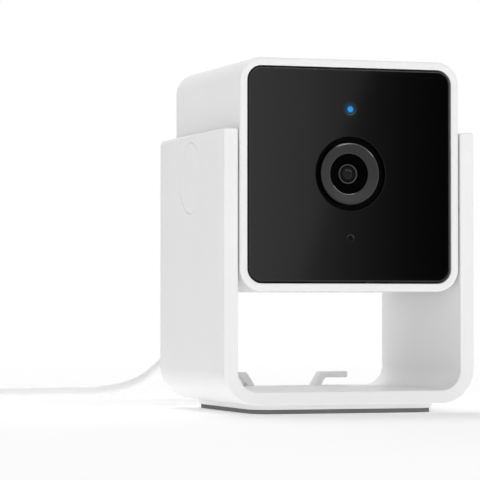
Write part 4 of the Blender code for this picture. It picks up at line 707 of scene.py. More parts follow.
@dataclass
class Stand:
    """The U-shaped stand with its two cable hooks and the caps over its pivots."""

    half: float = 30 * MM
    depth: float = 25 * MM
    bottom: float = 2.05 * MM
    floor_top: float = 5.05 * MM
    arm: float = 3.35 * MM
    top: float = 63.6 * MM
    corner: float = 8 * MM
    tip: float = 1.3 * MM
    front_tip: float = 0.5 * MM
    front_edge: float = 0.3 * MM
    rear_edge: float = 1.2 * MM
    cap_radius: float = 8.2 * MM
    cap_thickness: float = 0.9 * MM
    cap_seam: float = 0.06 * MM
    cap_edge: float = 0.2 * MM
    head_radius: float = 3.8 * MM
    shank_radius: float = 1.8 * MM
    screw_spread: float = 30 * MM
    screw_radius: float = 1.2 * MM
    magnet_spread: float = 26 * MM
    magnet_radius: float = 6.3 * MM
    pocket_depth: float = 2 * MM
    hook_foot: float = 7.2 * MM
    hook_leg: float = 2.0 * MM
    hook_lean: float = 2.4 * MM
    hook_height: float = 3.3 * MM
    hook_tongue: float = 1.45 * MM
    hook_reach: float = 16.2 * MM
    hook_rear: float = 23.8 * MM
    hook_depth: float = 3.6 * MM

    def hook(self, side: int) -> bpy.types.Object:
        """One hook: a leg that leans outwards, with a tongue drawn out of its upper part."""
        base, rise = self.floor_top - 0.4 * MM, self.floor_top + self.hook_height - self.hook_tongue
        ends = sorted((side * self.hook_foot, side * (self.hook_foot + self.hook_leg)))
        low = (ends[0], self.hook_rear - self.hook_depth, base)
        hook = block("hook", low, (ends[1], self.hook_rear, rise))
        lean, top = self.hook_lean, self.floor_top + self.hook_height
        outwards = Way.RIGHT if side > 0 else Way.LEFT
        share = (self.hook_height - self.hook_tongue) / self.hook_height
        with editing(hook):
            pick(Kind.FACE, looks(Way.UP))
            bpy.ops.transform.translate(value=(side * lean * share, 0, 0))
            move = (side * lean * (1 - share), 0, top - rise)
            bpy.ops.mesh.extrude_region_move(TRANSFORM_OT_translate={"value": move})

            def tongue_root(face: Any) -> bool:
                middle = face.calc_center_median()
                return face.normal.dot(outwards.vector) > 0.5 and middle.z > rise + 0.1 * MM

            pick(Kind.FACE, tongue_root)
            reach = side * (self.hook_reach - self.hook_foot - self.hook_leg - lean)
            bpy.ops.mesh.extrude_region_move(TRANSFORM_OT_translate={"value": (reach, 0, 0)})
            end = (side * self.hook_reach, 0, top)
            bpy.ops.transform.resize(value=(0, 1, 1), center_override=end)
        return hook

    def at_front_tip(self, point: Vector, x: float) -> bool:
        """Whether a point is on the rounding of an arm's front tip nearest to one x."""
        near = self.tip * 1.02
        return abs(point.y + self.depth) < 0.01 * MM and abs(point.x - x) < near and self.top - point.z < near

    def frame(self) -> bpy.types.Object:
        """The U: a rounded block less the space between its arms, with hooks and pivot seats.

        The arms' tips are rounded, and more at the rear than at the front. Underneath are the
        places of the base plate's screws and magnets.
        """
        half, depth, inside = self.half, self.depth, self.half - self.arm
        stand = block("stand_frame_moulded", (-half, -depth, self.bottom), (half, depth, self.top))
        with editing(stand):
            pick(Kind.EDGE, runs(Way.REAR, lambda p: p.z < self.bottom + self.tip))
            bevel(self.corner, 24)
        space = block("space", (-inside, -depth - CUT, self.floor_top), (inside, depth + CUT, self.top + CUT))
        with editing(space):
            pick(Kind.EDGE, runs(Way.REAR, lambda p: p.z < self.floor_top + self.tip))
            bevel(self.corner - self.arm, 16)
        combine(stand, "DIFFERENCE", space)
        with editing(stand):
            pick(Kind.EDGE, runs(Way.REAR, lambda p: p.z > self.top - self.tip))
            bevel(self.tip, 5)
        with editing(stand):
            flat = 0.01 * MM
            for x in (-half, -inside, inside, half):
                pick(Kind.EDGE, lambda e: all(self.at_front_tip(v.co, x) for v in e.verts))
                sharper = self.front_tip / self.tip
                bpy.ops.transform.resize(value=(sharper, 1, sharper), center_override=(x, -depth, self.top))
            pick(Kind.EDGE, lambda e: all(abs(v.co.y - depth) < flat for v in e.verts))
            bevel(self.rear_edge, 5)
            pick(Kind.EDGE, lambda e: all(abs(v.co.y + depth) < flat for v in e.verts))
            bevel(self.front_edge, 4)
        hooks = [self.hook(side) for side in (-1, 1)]
        for hook in hooks:
            soften(hook, 0.25 * MM, 3)
        combine(stand, "UNION", *hooks)
        for side, way in ((1, Way.LEFT), (-1, Way.RIGHT)):
            start = (side * (half + CUT), 0, PIVOT_HEIGHT)
            seat = self.cap_thickness + 0.3 * MM
            for radius, deep in ((self.cap_radius + self.cap_seam, seat), (self.head_radius, seat + MM)):
                combine(stand, "DIFFERENCE", rod("seat", start, way, radius, CUT + deep))
            bore = rod("bore", start, way, self.shank_radius, 2 * CUT + self.arm, SMALL)
            combine(stand, "DIFFERENCE", bore)
            with editing(stand):
                centre = (side * half, 0, PIVOT_HEIGHT)
                out = Way.RIGHT if side > 0 else Way.LEFT
                pick(Kind.EDGE, rim_of(out, half, False, centre, self.cap_radius * 1.2))
                bevel(0.06 * MM, 2)
            below, deep = self.bottom - CUT, CUT + self.pocket_depth
            screw = rod("screw", (0, side * self.screw_spread / 2, below), Way.UP, self.screw_radius, deep, SMALL)
            magnet = rod("magnet", (side * self.magnet_spread / 2, 0, below), Way.UP, self.magnet_radius, deep)
            combine(stand, "DIFFERENCE", screw, magnet)
        return finished(stand, Body.STAND, Surface.STAND_ABS, "stand_frame")

    def cap(self, side: int) -> bpy.types.Object:
        """One cap: a disc with a rounded edge and a face that is dished by a hair."""
        way = Way.LEFT if side > 0 else Way.RIGHT
        radius, thick, edge = self.cap_radius, self.cap_thickness, self.cap_edge
        profile = [(radius * share, 0.05 * MM * (1 - share)) for share in (0.0, 0.35, 0.7, 0.93)]
        turns = [math.pi / 2 * i / 4 for i in range(5)]
        profile += [(radius - edge * (1 - math.sin(a)), edge * (1 - math.cos(a))) for a in turns]
        profile += [(radius, thick), (0.0, thick)]
        name = "pivot_cap_right_moulded" if side > 0 else "pivot_cap_left_moulded"
        cap = turned(name, (side * self.half, 0, PIVOT_HEIGHT), way, profile)
        node = "pivot_cap_right" if side > 0 else "pivot_cap_left"
        return finished(cap, Body.STAND, Surface.STAND_ABS, node)

    def build(self) -> None:
        """Makes the stand and its caps."""
        self.frame()
        for side in (-1, 1):
            self.cap(side)


@dataclass
class Housing:
    """The camera's sleeve and its rear cover with sound holes, screws, button and port."""

    half_width: float = 26.25 * MM
    half_height: float = 26.1 * MM
    front: float = -25 * MM
    rear: float = 24.6 * MM
    corner: float = 5.2 * MM
    rim: float = 1.8 * MM
    front_edge: float = 0.45 * MM
    rear_edge: float = 1.6 * MM
    inner_edge: float = 0.18 * MM
    washer_pocket: float = 0.55 * MM
    washer_radius: float = 6.3 * MM
    cover_front: float = 22.4 * MM
    cover_rear: float = 24.4 * MM
    cover_gap: float = 0.3 * MM
    speaker_rise: float = 6 * MM
    sound_radius: float = 0.85 * MM
    sound_pitch: float = 3.6 * MM
    screw_place: tuple[float, float] = (15.55 * MM, 19.5 * MM)
    screw_head: float = 2.2 * MM
    screw_tall: float = 0.8 * MM
    screw_end: float = 15.1 * MM
    button_place: tuple[float, float] = (9.3 * MM, -14.6 * MM)
    port_drop: float = 15 * MM

    def sleeve(self) -> bpy.types.Object:
        """The sleeve: a rounded block, its end faces inset and joined through the middle."""
        wide, tall, middle = self.half_width, self.half_height, PIVOT_HEIGHT
        corners = (-wide, self.front, middle - tall), (wide, self.rear, middle + tall)
        sleeve = rounded_block("housing_moulded", *corners, Way.REAR, self.corner, 18)
        with editing(sleeve):
            for way in (Way.FRONT, Way.REAR):
                pick(Kind.FACE, looks(way))
                bpy.ops.mesh.inset(thickness=self.rim)
            past = 0.1 * MM - self.rim

            def core(face: Any) -> bool:
                offsets = [v.co - Vector((0, v.co.y, middle)) for v in face.verts]
                inside = all(abs(p.x) < wide + past and abs(p.z) < tall + past for p in offsets)
                return inside and abs(face.normal.y) > 0.99

            pick(Kind.FACE, core)
            bpy.ops.mesh.delete(type="ONLY_FACE")
            pick(Kind.EDGE, lambda edge: len(edge.link_faces) == 1)
            bpy.ops.mesh.bridge_edge_loops()
            bpy.ops.mesh.select_all(action="SELECT")
            bpy.ops.mesh.normals_make_consistent(inside=False)
            for way, level, edge in ((Way.FRONT, -self.front, self.front_edge), (Way.REAR, self.rear, self.rear_edge)):
                pick(Kind.EDGE, rim_of(way, level, True))
                bevel(edge, 6)
                pick(Kind.EDGE, rim_of(way, level, False))
                bevel(self.inner_edge, 3)
        for side, way in ((1, Way.LEFT), (-1, Way.RIGHT)):
            start = (side * (wide + CUT), 0, middle)
            pocket = rod("pocket", start, way, self.washer_radius, CUT + self.washer_pocket)
            combine(sleeve, "DIFFERENCE", pocket, rod("bore", start, way, 1.8 * MM, CUT + 2 * self.rim, SMALL))
        return finished(sleeve, Body.CAMERA, Surface.HOUSING_ABS, "housing")

    def sound_places(self) -> list[tuple[float, float]]:
        """Where the sound holes sit, in two rings round a middle one, as (x, z)."""
        centre = PIVOT_HEIGHT + self.speaker_rise
        places = [(0.0, centre)]
        for ring in (1, 2):
            reach = ring * self.sound_pitch
            for i in range(6 * ring):
                turn = math.pi / 3 * i / ring
                places.append((reach * math.cos(turn), centre + reach * math.sin(turn)))
        return places

    def sound_holes(self) -> bpy.types.Object:
        """Cutters for the holes in front of the speaker."""
        start, length = self.cover_rear + CUT, self.cover_rear - self.cover_front + 2 * CUT
        tools = [
            rod(f"sound_{i}", (x, start, z), Way.FRONT, self.sound_radius, length, 24)
            for i, (x, z) in enumerate(self.sound_places())
        ]
        only(*tools)
        bpy.ops.object.join()
        return bpy.context.active_object

    def cover(self) -> bpy.types.Object:
        """The rear cover with all its openings, their edges softened."""
        gap, middle = self.rim + self.cover_gap, PIVOT_HEIGHT
        wide, tall = self.half_width - gap, self.half_height - gap
        corners = (-wide, self.cover_front, middle - tall), (wide, self.cover_rear, middle + tall)
        cover = rounded_block("rear_cover_moulded", *corners, Way.REAR, self.corner - gap, 12)
        with editing(cover):
            pick(Kind.EDGE, rim_of(Way.REAR, self.cover_rear, True))
            bevel(0.3 * MM, 3)
        outside, through = self.cover_rear + CUT, self.cover_rear - self.cover_front + 2 * CUT
        tools = [self.sound_holes()]
        for x, z in self.screw_places():
            tools.append(rod("seat", (x, outside, z), Way.FRONT, self.screw_head + 0.3 * MM, CUT + 1.3 * MM, 48))
            tools.append(rod("bore", (x, outside, z), Way.FRONT, 1.4 * MM, through, 24))
        x, z = self.button_place
        tools.append(rod("button_hole", (x, outside, middle + z), Way.FRONT, 1.8 * MM, through, 48))
        port = middle - self.port_drop
        for half_wide, half_tall, start, corner in (
            (3.75 * MM, 1.2 * MM, self.cover_front - CUT, 0.9 * MM),
            (5.6 * MM, 4.1 * MM, self.cover_rear - MM, 2.1 * MM),
        ):
            low = (-half_wide, start, port - half_tall)
            tools.append(rounded_block("opening", low, (half_wide, outside, port + half_tall), Way.REAR, corner, 8))
        combine(cover, "DIFFERENCE", *tools)
        openings = [(x, z, self.screw_head * 1.3) for x, z in self.screw_places()]
        openings.append((self.button_place[0], middle + self.button_place[1], 2 * MM))
        openings += [(x, z, self.sound_radius * 1.1) for x, z in self.sound_places()]
        with editing(cover):
            for x, z, reach in openings:
                pick(Kind.EDGE, rim_of(Way.REAR, self.cover_rear, False, (x, 0, z), reach))
                bevel(0.12 * MM, 2)
        return finished(cover, Body.CAMERA, Surface.HOUSING_ABS, "rear_cover")

    def screw_places(self) -> list[tuple[float, float]]:
        """Where the four screws sit, as (x, z)."""
        x, z = self.screw_place
        return [(a * x, PIVOT_HEIGHT + b * z) for a in (-1, 1) for b in (-1, 1)]

    def screws(self) -> None:
        """One screw with a cross recess, and its copies."""
        head, shank, tall, end = self.screw_head, 1.1 * MM, self.screw_tall, self.screw_end
        y = self.cover_rear - 0.2 * MM
        (x, z), *others = self.screw_places()
        profile = [(0.0, 0.0), (head - 0.5 * MM, 0.02 * MM), (head - 0.15 * MM, 0.1 * MM), (head, 0.25 * MM)]
        profile += [(head, tall), (shank, tall), (shank, y - end), (0.0, y - end)]
        screw = turned("rear_screw_1_blackened", (x, y, z), Way.FRONT, profile, SMALL)
        long, narrow, deep = 1.3 * MM, 0.3 * MM, 0.4 * MM
        for wide, high in ((long, narrow), (narrow, long)):
            low = (x - wide, y - deep, z - high)
            combine(screw, "DIFFERENCE", block("slot", low, (x + wide, y + CUT, z + high)))
        copies = [
            copy_of(screw, f"rear_screw_{i}_blackened", (other[0] - x, 0, other[1] - z))
            for i, other in enumerate(others, 2)
        ]
        for i, piece in enumerate([screw, *copies], 1):
            finished(piece, Body.CAMERA, Surface.BLACK_STEEL, f"rear_screw_{i}")

    def button(self) -> bpy.types.Object:
        """The reset button, with a dished face."""
        x, z = self.button_place
        start, stem, flange = 21.3 * MM, 1.5 * MM, 2.0 * MM
        face = self.cover_rear - 0.2 * MM - start
        profile = [(0.0, 0.0), (flange, 0.0), (flange, 0.8 * MM), (stem, 0.8 * MM), (stem, face - 0.15 * MM)]
        profile += [(stem - 0.15 * MM, face), (0.9 * MM, face - 0.03 * MM), (0.0, face - 0.16 * MM)]
        button = turned("reset_button_moulded", (x, start, PIVOT_HEIGHT + z), Way.REAR, profile, 48)
        return finished(button, Body.BUTTON, Surface.BLACK_ABS, "reset_button")

    def build(self) -> None:
        """Makes the sleeve, the cover and what shows on it."""
        self.sleeve()
        self.cover()
        self.screws()
        self.button()


@dataclass
class FrontGlass:
    """The black glass with its three holes, and the light behind the upper one."""

    half_width: float = 24.15 * MM
    half_height: float = 24.0 * MM
    front: float = -24.9 * MM
    thickness: float = 1.6 * MM
    corner: float = 3.1 * MM
    edge: float = 0.4 * MM
    lens_hole: float = 8.4 * MM
    lens_height: float = 53.9 * MM
    light_hole: float = 0.94 * MM
    light_height: float = 68.4 * MM
    mic_hole: float = 0.56 * MM
    mic_height: float = 39.3 * MM
    pipe_radius: float = 0.9 * MM
    pipe_length: float = 2.7 * MM
    mesh_depth: float = 0.2 * MM
    mesh_thickness: float = 0.3 * MM

    def glass(self) -> bpy.types.Object:
        """The sheet, its outer edge ground round and its holes chamfered."""
        wide, tall = self.half_width, self.half_height
        low = (-wide, self.front, PIVOT_HEIGHT - tall)
        high = (wide, self.front + self.thickness, PIVOT_HEIGHT + tall)
        glass = rounded_block("front_glass_polished", low, high, Way.REAR, self.corner, 14)
        with editing(glass):
            # Cuts close to the holes' middles leave only faces without holes
            off = 0.05 * MM
            cuts = [((0, 0, height + off), Way.UP) for height in (self.lens_height, self.light_height, self.mic_height)]
            for place, way in [*cuts, ((off, 0, 0), Way.RIGHT)]:
                bpy.ops.mesh.select_all(action="SELECT")
                bpy.ops.mesh.bisect(plane_co=place, plane_no=way.value)
        holes = (
            (self.lens_height, self.lens_hole, 0.06 * MM, ROUND),
            (self.light_height, self.light_hole, 0.05 * MM, SMALL),
            (self.mic_height, self.mic_hole, 0.14 * MM, SMALL),
        )
        for height, radius, _, sides in holes:
            start = (0, self.front - CUT, height)
            combine(glass, "DIFFERENCE", rod("hole", start, Way.REAR, radius, self.thickness + 2 * CUT, sides))
        with editing(glass):
            pick(Kind.EDGE, rim_of(Way.FRONT, -self.front, True))
            bevel(self.edge, 4)
            for height, radius, chamfer, _ in holes:
                pick(Kind.EDGE, rim_of(Way.FRONT, -self.front, False, (0, 0, height), radius * 1.1))
                bevel(chamfer, 2)
        return finished(glass, Body.CAMERA, Surface.FRONT_GLASS, "front_glass")

    def light(self) -> bpy.types.Object:
        """The light pipe, with a low domed face."""
        radius = self.pipe_radius
        profile = [(0.0, 0.0), (0.4 * radius, 0.01 * MM), (0.8 * radius, 0.06 * MM), (radius, 0.18 * MM)]
        profile += [(radius, self.pipe_length), (0.0, self.pipe_length)]
        pipe = turned("light_pipe_lit", (0, self.front, self.light_height), Way.REAR, profile, SMALL)
        return finished(pipe, Body.CAMERA, Surface.LIGHT, "light_pipe")

    def mesh(self) -> bpy.types.Object:
        """The dust mesh in the microphone's hole: a small disc with a rounded edge."""
        radius, deep = self.mic_hole - 0.03 * MM, self.mesh_thickness
        profile = [(0.0, 0.0), (radius - 0.08 * MM, 0.0), (radius, 0.08 * MM), (radius, deep), (0.0, deep)]
        place = (0, self.front + self.mesh_depth, self.mic_height)
        mesh = turned("microphone_mesh_woven", place, Way.REAR, profile, SMALL)
        return finished(mesh, Body.CAMERA, Surface.MESH)

    def build(self) -> None:
        """Makes the glass, its light and the microphone's mesh."""
        self.glass()
        self.light()
        self.mesh()


@dataclass
class Lens:
    """The trim ring, barrel, retaining ring and front lens, on one axis."""

    height: float = 53.9 * MM
    face: float = -25 * MM
    trim_radius: float = 6.95 * MM
    trim_opening: float = 4.55 * MM
    trim_recess: float = 0.2 * MM
    trim_dish: float = 0.6 * MM
    trim_edge: float = 0.34 * MM
    trim_edge_fall: float = 0.51
    trim_end: float = 4.2 * MM
    barrel_radius: float = 4.25 * MM
    barrel_front: float = 1.0 * MM
    barrel_dish: float = 0.9 * MM
    baffles: int = 4
    seat_radius: float = 2.65 * MM
    seat_floor: float = 2.4 * MM
    bore: float = 1.3 * MM
    thread: float = 4 * MM
    neck: float = 5 * MM
    barrel_end: float = 10 * MM
    ring_radius: float = 2.28 * MM
    ring_width: float = 0.4 * MM
    ring_front: float = 1.7 * MM
    ring_back: float = 2.1 * MM
    lens_radius: float = 1.65 * MM
    lens_base: float = 0.25 * MM
    lens_bulge: float = 0.55 * MM
    lens_curve: float = 2.0 * MM
    lens_clear: float = 1.15 * MM

    def part(
        self, name: str, profile: list[tuple[float, float]], surface: Surface, node: str, sides: int = ROUND
    ) -> bpy.types.Object:
        """Turns one piece on the lens's axis, with heights counted back from the housing's face."""
        piece = turned(name, (0, self.face, self.height), Way.REAR, profile, sides)
        return finished(piece, Body.CAMERA, surface, node)

    def build(self) -> None:
        """Makes the four pieces."""
        outer, inner, front = self.trim_radius, self.trim_opening, self.trim_recess
        edge, back = self.trim_edge, front + self.trim_dish
        profile = [(inner, self.trim_end), (outer, self.trim_end)]
        fall = edge * self.trim_edge_fall
        profile += [(outer, front + fall), (outer - edge, front), (inner + edge, back), (inner, back + fall)]
        self.part("lens_trim_turned", [*profile, profile[0]], Surface.TRIM, "lens_trim")
        profile = [(self.bore, self.barrel_end), (self.thread, self.barrel_end), (self.thread, self.neck)]
        profile += [(self.barrel_radius, self.neck), (self.barrel_radius, self.barrel_front)]
        fall = self.barrel_radius - self.seat_radius
        for i in range(self.baffles):
            radius = self.barrel_radius - fall * (i + 0.82) / self.baffles
            deep = self.barrel_front + self.barrel_dish * (i + 0.3) / self.baffles
            profile += [(radius, deep), (radius, deep + self.barrel_dish * 0.7 / self.baffles)]
        profile += [(self.seat_radius, self.barrel_front + self.barrel_dish), (self.seat_radius, self.seat_floor)]
        profile += [(self.bore, self.seat_floor)]
        self.part("lens_barrel_moulded", [*profile, profile[0]], Surface.BAFFLE, "lens_barrel")
        ring, narrow, edge = self.ring_radius, self.ring_radius - self.ring_width, 0.08 * MM
        profile = [(narrow, self.ring_back), (ring, self.ring_back), (ring, self.ring_front + edge)]
        profile += [(ring - edge, self.ring_front), (narrow + edge, self.ring_front), (narrow, self.ring_front + edge)]
        self.part("lens_ring_blackened", [*profile, profile[0]], Surface.BLACK_STEEL, "lens_ring")
        radius, base = self.lens_radius, self.ring_back - self.lens_base
        widest = math.asin(self.lens_clear / self.lens_curve)
        turns = [widest * i / 12 for i in range(13)]
        tip = base - self.lens_bulge + self.lens_curve
        profile = [(self.lens_curve * math.sin(a), tip - self.lens_curve * math.cos(a)) for a in turns]
        profile += [(radius, base), (radius, self.ring_back), (0.0, self.ring_back)]
        self.part("front_lens_coated", profile, Surface.LENS, "front_lens", 64)


@dataclass
class Plugs:
    """The small plug in the camera's port and the large one at the lead's far end."""

    relief_length: float = 7 * MM
    relief_start: float = 2.6 * MM
    relief_end: float = 2.1 * MM
    ribs: int = 4
    groove: float = 0.28 * MM
    small_size: tuple[float, float, float] = (10.6 * MM, 12.5 * MM, 7.6 * MM)
    small_corner: float = 1.8 * MM
    small_place: tuple[float, float] = (23.7 * MM, 38.5 * MM)
    large_size: tuple[float, float, float] = (15.6 * MM, 22 * MM, 8 * MM)
    large_corner: float = 2.4 * MM
    large_place: tuple[float, float, float] = (-111.8 * MM, -4.4 * MM, 4.1 * MM)
    shell_size: tuple[float, float, float] = (12 * MM, 18 * MM, 4.5 * MM)
    shell_wall: float = 0.3 * MM

    def relief(self, place: Point) -> bpy.types.Object:
        """A strain relief: a tapered sleeve with grooves between its ribs."""
        step, profile = self.relief_length / (2 * self.ribs), [(0.0, -0.6 * MM), (self.relief_start, -0.6 * MM)]
        for i in range(2 * self.ribs + 1):
            radius = self.relief_start + (self.relief_end - self.relief_start) * i / (2 * self.ribs)
            wide = radius - self.groove * (i % 2)
            profile += [(wide, (i - 0.22 * (i > 0)) * step), (wide, (i + 0.22 * (i < 2 * self.ribs)) * step)]
        profile += [(0.0, self.relief_length)]
        return turned("relief", place, Way.REAR, profile, SMALL)

    def body(self, name: str, size: Point, corner: float, place: Point, on: Body, node: str) -> bpy.types.Object:
        """A plug's moulded body with its relief and a shallow grip panel above and below."""
        (x, y, z), (wide, long, tall) = place, size
        body = rounded_block(
            name, (x - wide / 2, y, z - tall / 2), (x + wide / 2, y + long, z + tall / 2), Way.REAR, corner, 8
        )
        with editing(body):
            for way in (Way.UP, Way.DOWN):
                pick(Kind.FACE, looks(way))
                bpy.ops.mesh.inset(thickness=1.1 * MM)
                bpy.ops.mesh.inset(thickness=0.25 * MM)
                bpy.ops.transform.translate(value=way.vector * -0.2 * MM)
        soften(body, 0.5 * MM, 4)
        combine(body, "UNION", self.relief((x, y + long, z)))
        return finished(body, on, Surface.PVC, node)

    def shell(self) -> tuple[bpy.types.Object, bpy.types.Object]:
        """The large plug's tin shell, open at its end, with its windows, and the tongue inside."""
        (x, y, z), (wide, long, tall), wall = self.large_place, self.shell_size, self.shell_wall
        rear, front = y - 0.02 * MM, y - 0.3 * MM - long
        low, high = (x - wide / 2, front, z - tall / 2), (x + wide / 2, rear, z + tall / 2)
        shell = rounded_block("usb_a_plug_shell_tinned", low, high, Way.REAR, 0.9 * MM, 5)
        inner = (x - wide / 2 + wall, front - CUT, z - tall / 2 + wall)
        outer = (x + wide / 2 - wall, rear - wall, z + tall / 2 - wall)
        combine(shell, "DIFFERENCE", rounded_block("hollow", inner, outer, Way.REAR, 0.6 * MM, 5))
        for side in (-1, 1):
            middle, half, y_near = x + side * 2.9 * MM, 1.25 * MM, front + 6.2 * MM
            low = (middle - half, y_near, z - tall)
            combine(shell, "DIFFERENCE", block("window", low, (middle + half, y_near + 2.5 * MM, z + tall)))
        shell = finished(shell, Body.STAND, Surface.TINPLATE, "usb_a_plug_shell")
        low, high = (x - 5.4 * MM, front + 0.6 * MM, z), (x + 5.4 * MM, rear - 0.5 * MM, z + 1.85 * MM)
        tongue = block("usb_a_plug_tongue", low, high)
        for i in range(4):
            middle = x + (i - 1.5) * 2.3 * MM
            low = (middle - 0.5 * MM, front + 1.2 * MM, z - CUT)
            slot = block("contact", low, (middle + 0.5 * MM, front + 8 * MM, z + 0.2 * MM))
            combine(tongue, "DIFFERENCE", slot)
        soften(tongue, 0.12 * MM, 2)
        return shell, finished(tongue, Body.STAND, Surface.BLACK_ABS)

    def build(self) -> list[bpy.types.Object]:
        """Makes both plugs and returns the pieces that lie on the lead."""
        y, z = self.small_place
        small = self.body(
            "micro_plug_body_moulded", self.small_size, self.small_corner, (0, y, z), Body.CAMERA, "micro_plug_body"
        )
        large = self.body(
            "usb_a_plug_body_moulded", self.large_size, self.large_corner, self.large_place, Body.STAND, "usb_a_plug_body"
        )
        return [small, large, *self.shell()]


@dataclass
class PowerLead:
    """The lead on its real route: down from the port, along the floor, a neat coil, and its plug."""

    diameter: float = 2.8 * MM
    exit: tuple[float, float, float] = (0.0, 43.5 * MM, 38.5 * MM)
    floor_route: tuple[tuple[float, float, float], ...] = (
        (-1.6, 56.5, 34.6), (-5.4, 64, 25.8), (-10.2, 70.8, 15.6), (-15.2, 77, 7.7), (-20.4, 82.4, 3.5),
        (-28, 86.4, 1.8), (-38.5, 87.8, 1.55), (-54, 88.2, 1.45), (-70, 88.3, 2.1),
    )  # millimetres
    tail_route: tuple[tuple[float, float, float], ...] = (
        (-110.2, 54, 12.4), (-111, 46, 9), (-111.6, 39, 5.8), (-111.8, 33, 4.4),
    )  # millimetres
    plug_end: tuple[float, float, float] = (-111.8 * MM, 24.9 * MM, 4.1 * MM)
    coil_centre: tuple[float, float] = (-88 * MM, 65 * MM)
    coil_inner: float = 10.5 * MM
    coil_pitch: float = 3.668 * MM
    coil_base: float = 2.6 * MM
    coil_turns: tuple[float, ...] = (3.5, 3.5, 3.5, 3.25)
    turn_points: int = 48
    step: float = 3.2 * MM
    bend_end: tuple[float, float, float] = (-18 * MM, 80 * MM, 5.5 * MM)
    tie_width: float = 6 * MM
    tie_thickness: float = 0.9 * MM

    def smooth(self, route: Sequence[Point]) -> np.ndarray:
        """Points a step apart on the smooth curve through a route (Catmull-Rom)."""
        points = np.array([2 * np.array(route[0]) - route[1], *route, 2 * np.array(route[-1]) - route[-2]])
        times = np.cumsum([0, *np.sqrt(np.linalg.norm(np.diff(points, axis=0), axis=1))])
        dense = []
        for i in range(1, len(points) - 2):
            (a, b, c, d), (ta, tb, tc, td) = points[i - 1 : i + 3], times[i - 1 : i + 3]
            for t in np.linspace(tb, tc, 40, endpoint=False):
                ab, bc, cd = a + (b - a) * (t - ta) / (tb - ta), b + (c - b) * (t - tb) / (tc - tb), c + (d - c) * (t - tc) / (td - tc)
                abc, bcd = ab + (bc - ab) * (t - ta) / (tc - ta), bc + (cd - bc) * (t - tb) / (td - tb)
                dense.append(abc + (bcd - abc) * (t - tb) / (tc - tb))
        dense = np.array([*dense, points[-2]])
        along = np.cumsum([0, *np.linalg.norm(np.diff(dense, axis=0), axis=1)])
        places = np.linspace(0, along[-1], math.ceil(along[-1] / self.step) + 1)
        return np.stack([np.interp(places, along, dense[:, k]) for k in range(3)], axis=1)

    def coil(self) -> np.ndarray:
        """The middle of the lead in its coil: in and out at a steady rate, a layer higher each time."""
        turn, radius, height = math.pi / 2, self.coil_inner + self.coil_turns[0] * self.coil_pitch, self.coil_base
        path, step = [(turn, radius, height)], 2 * math.pi / self.turn_points
        for layer, turns in enumerate(self.coil_turns):
            for _ in range(round(turns * self.turn_points)):
                turn, radius = turn + step, radius + (1 if layer % 2 else -1) * self.coil_pitch / self.turn_points
                path.append((turn, radius, height))
            if layer < len(self.coil_turns) - 1:
                for _ in range(self.turn_points // 2):
                    turn, height = turn + step, height + 2 * self.coil_pitch / self.turn_points
                    path.append((turn, radius, height))
        x, y = self.coil_centre
        return np.array([(x + r * math.cos(a), y + r * math.sin(a), z) for a, r, z in path])

    def path(self) -> np.ndarray:
        """The whole route from the port to the large plug."""
        coil, wide = self.coil(), self.diameter
        first = coil[0] - [2 * wide, 0, 0] * np.sign(coil[1] - coil[0])
        way = (coil[-1] - coil[-2]) / np.linalg.norm(coil[-1] - coil[-2])
        start = np.array(self.exit)
        lead = [start, start + [0, wide, 0], *(np.array(p) * MM for p in self.floor_route), first, coil[0]]
        end = np.array(self.plug_end)
        tail = [coil[-1], coil[-1] + way * 2 * wide, *(np.array(p) * MM for p in self.tail_route), end + [0, wide, 0], end]
        return np.concatenate([self.smooth(lead)[:-1], coil, self.smooth(tail)[1:]])

    def jacket(self, path: np.ndarray) -> bpy.types.Object:
        """The lead as a tube along its route."""
        curve = bpy.data.curves.new("power_lead", "CURVE")
        curve.dimensions, curve.bevel_depth, curve.bevel_resolution, curve.use_fill_caps = "3D", self.diameter / 2, 5, True
        spline = curve.splines.new("POLY")
        spline.points.add(len(path) - 1)
        for corner, point in zip(spline.points, path):
            corner.co = (*point, 1)
        made = bpy.data.objects.new("power_lead", curve)
        bpy.context.scene.collection.objects.link(made)
        only(made)
        bpy.ops.object.convert(target="MESH")
        lead = settled("power_lead")
        with editing(lead):
            bpy.ops.mesh.select_all(action="SELECT")
            bpy.ops.mesh.remove_doubles(threshold=MERGE)
            bpy.ops.mesh.normals_make_consistent(inside=False)
        bpy.ops.object.shade_smooth_by_angle(angle=math.radians(60))
        return lead

    def tie(self) -> bpy.types.Object:
        """The strap round the coil's turns."""
        radius, gap = self.diameter / 2, 0.3 * MM
        near = math.sqrt(self.coil_inner**2 - (self.tie_width / 2) ** 2) - radius - gap
        far = self.coil_inner + self.coil_turns[0] * self.coil_pitch + radius + gap
        tall = (len(self.coil_turns) - 1) * self.coil_pitch + self.diameter + 2 * gap
        (x, y), half, wall = self.coil_centre, self.tie_width / 2, self.tie_thickness
        low, high = (x - half, y - far - wall, 0), (x + half, y - near + wall, tall + 2 * wall)
        strap = rounded_block("cord_tie_moulded", low, high, Way.RIGHT, radius + gap + wall, 8)
        low, high = (x - half - CUT, y - far, wall), (x + half + CUT, y - near, wall + tall)
        combine(strap, "DIFFERENCE", rounded_block("loop", low, high, Way.RIGHT, radius + gap, 8))
        soften(strap, 0.22 * MM, 3)
        return finished(strap, Body.STAND, Surface.SILICONE, "cord_tie")

    def build(self, plugs: list[bpy.types.Object]) -> None:
        """Args:
            plugs: The pieces of the plugs, which lie on the lead. Not used.
        """
        path = self.path()
        lead = self.jacket(path)
        Surface.PVC.dress(lead)
        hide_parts("cord_lead", "cord_coil", "cord_tail")
        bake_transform(lead)
        length = float(np.linalg.norm(np.diff(path, axis=0), axis=1).sum())
        log.info("power_lead: %d points, %.3f m", len(path), length)
        self.tie()


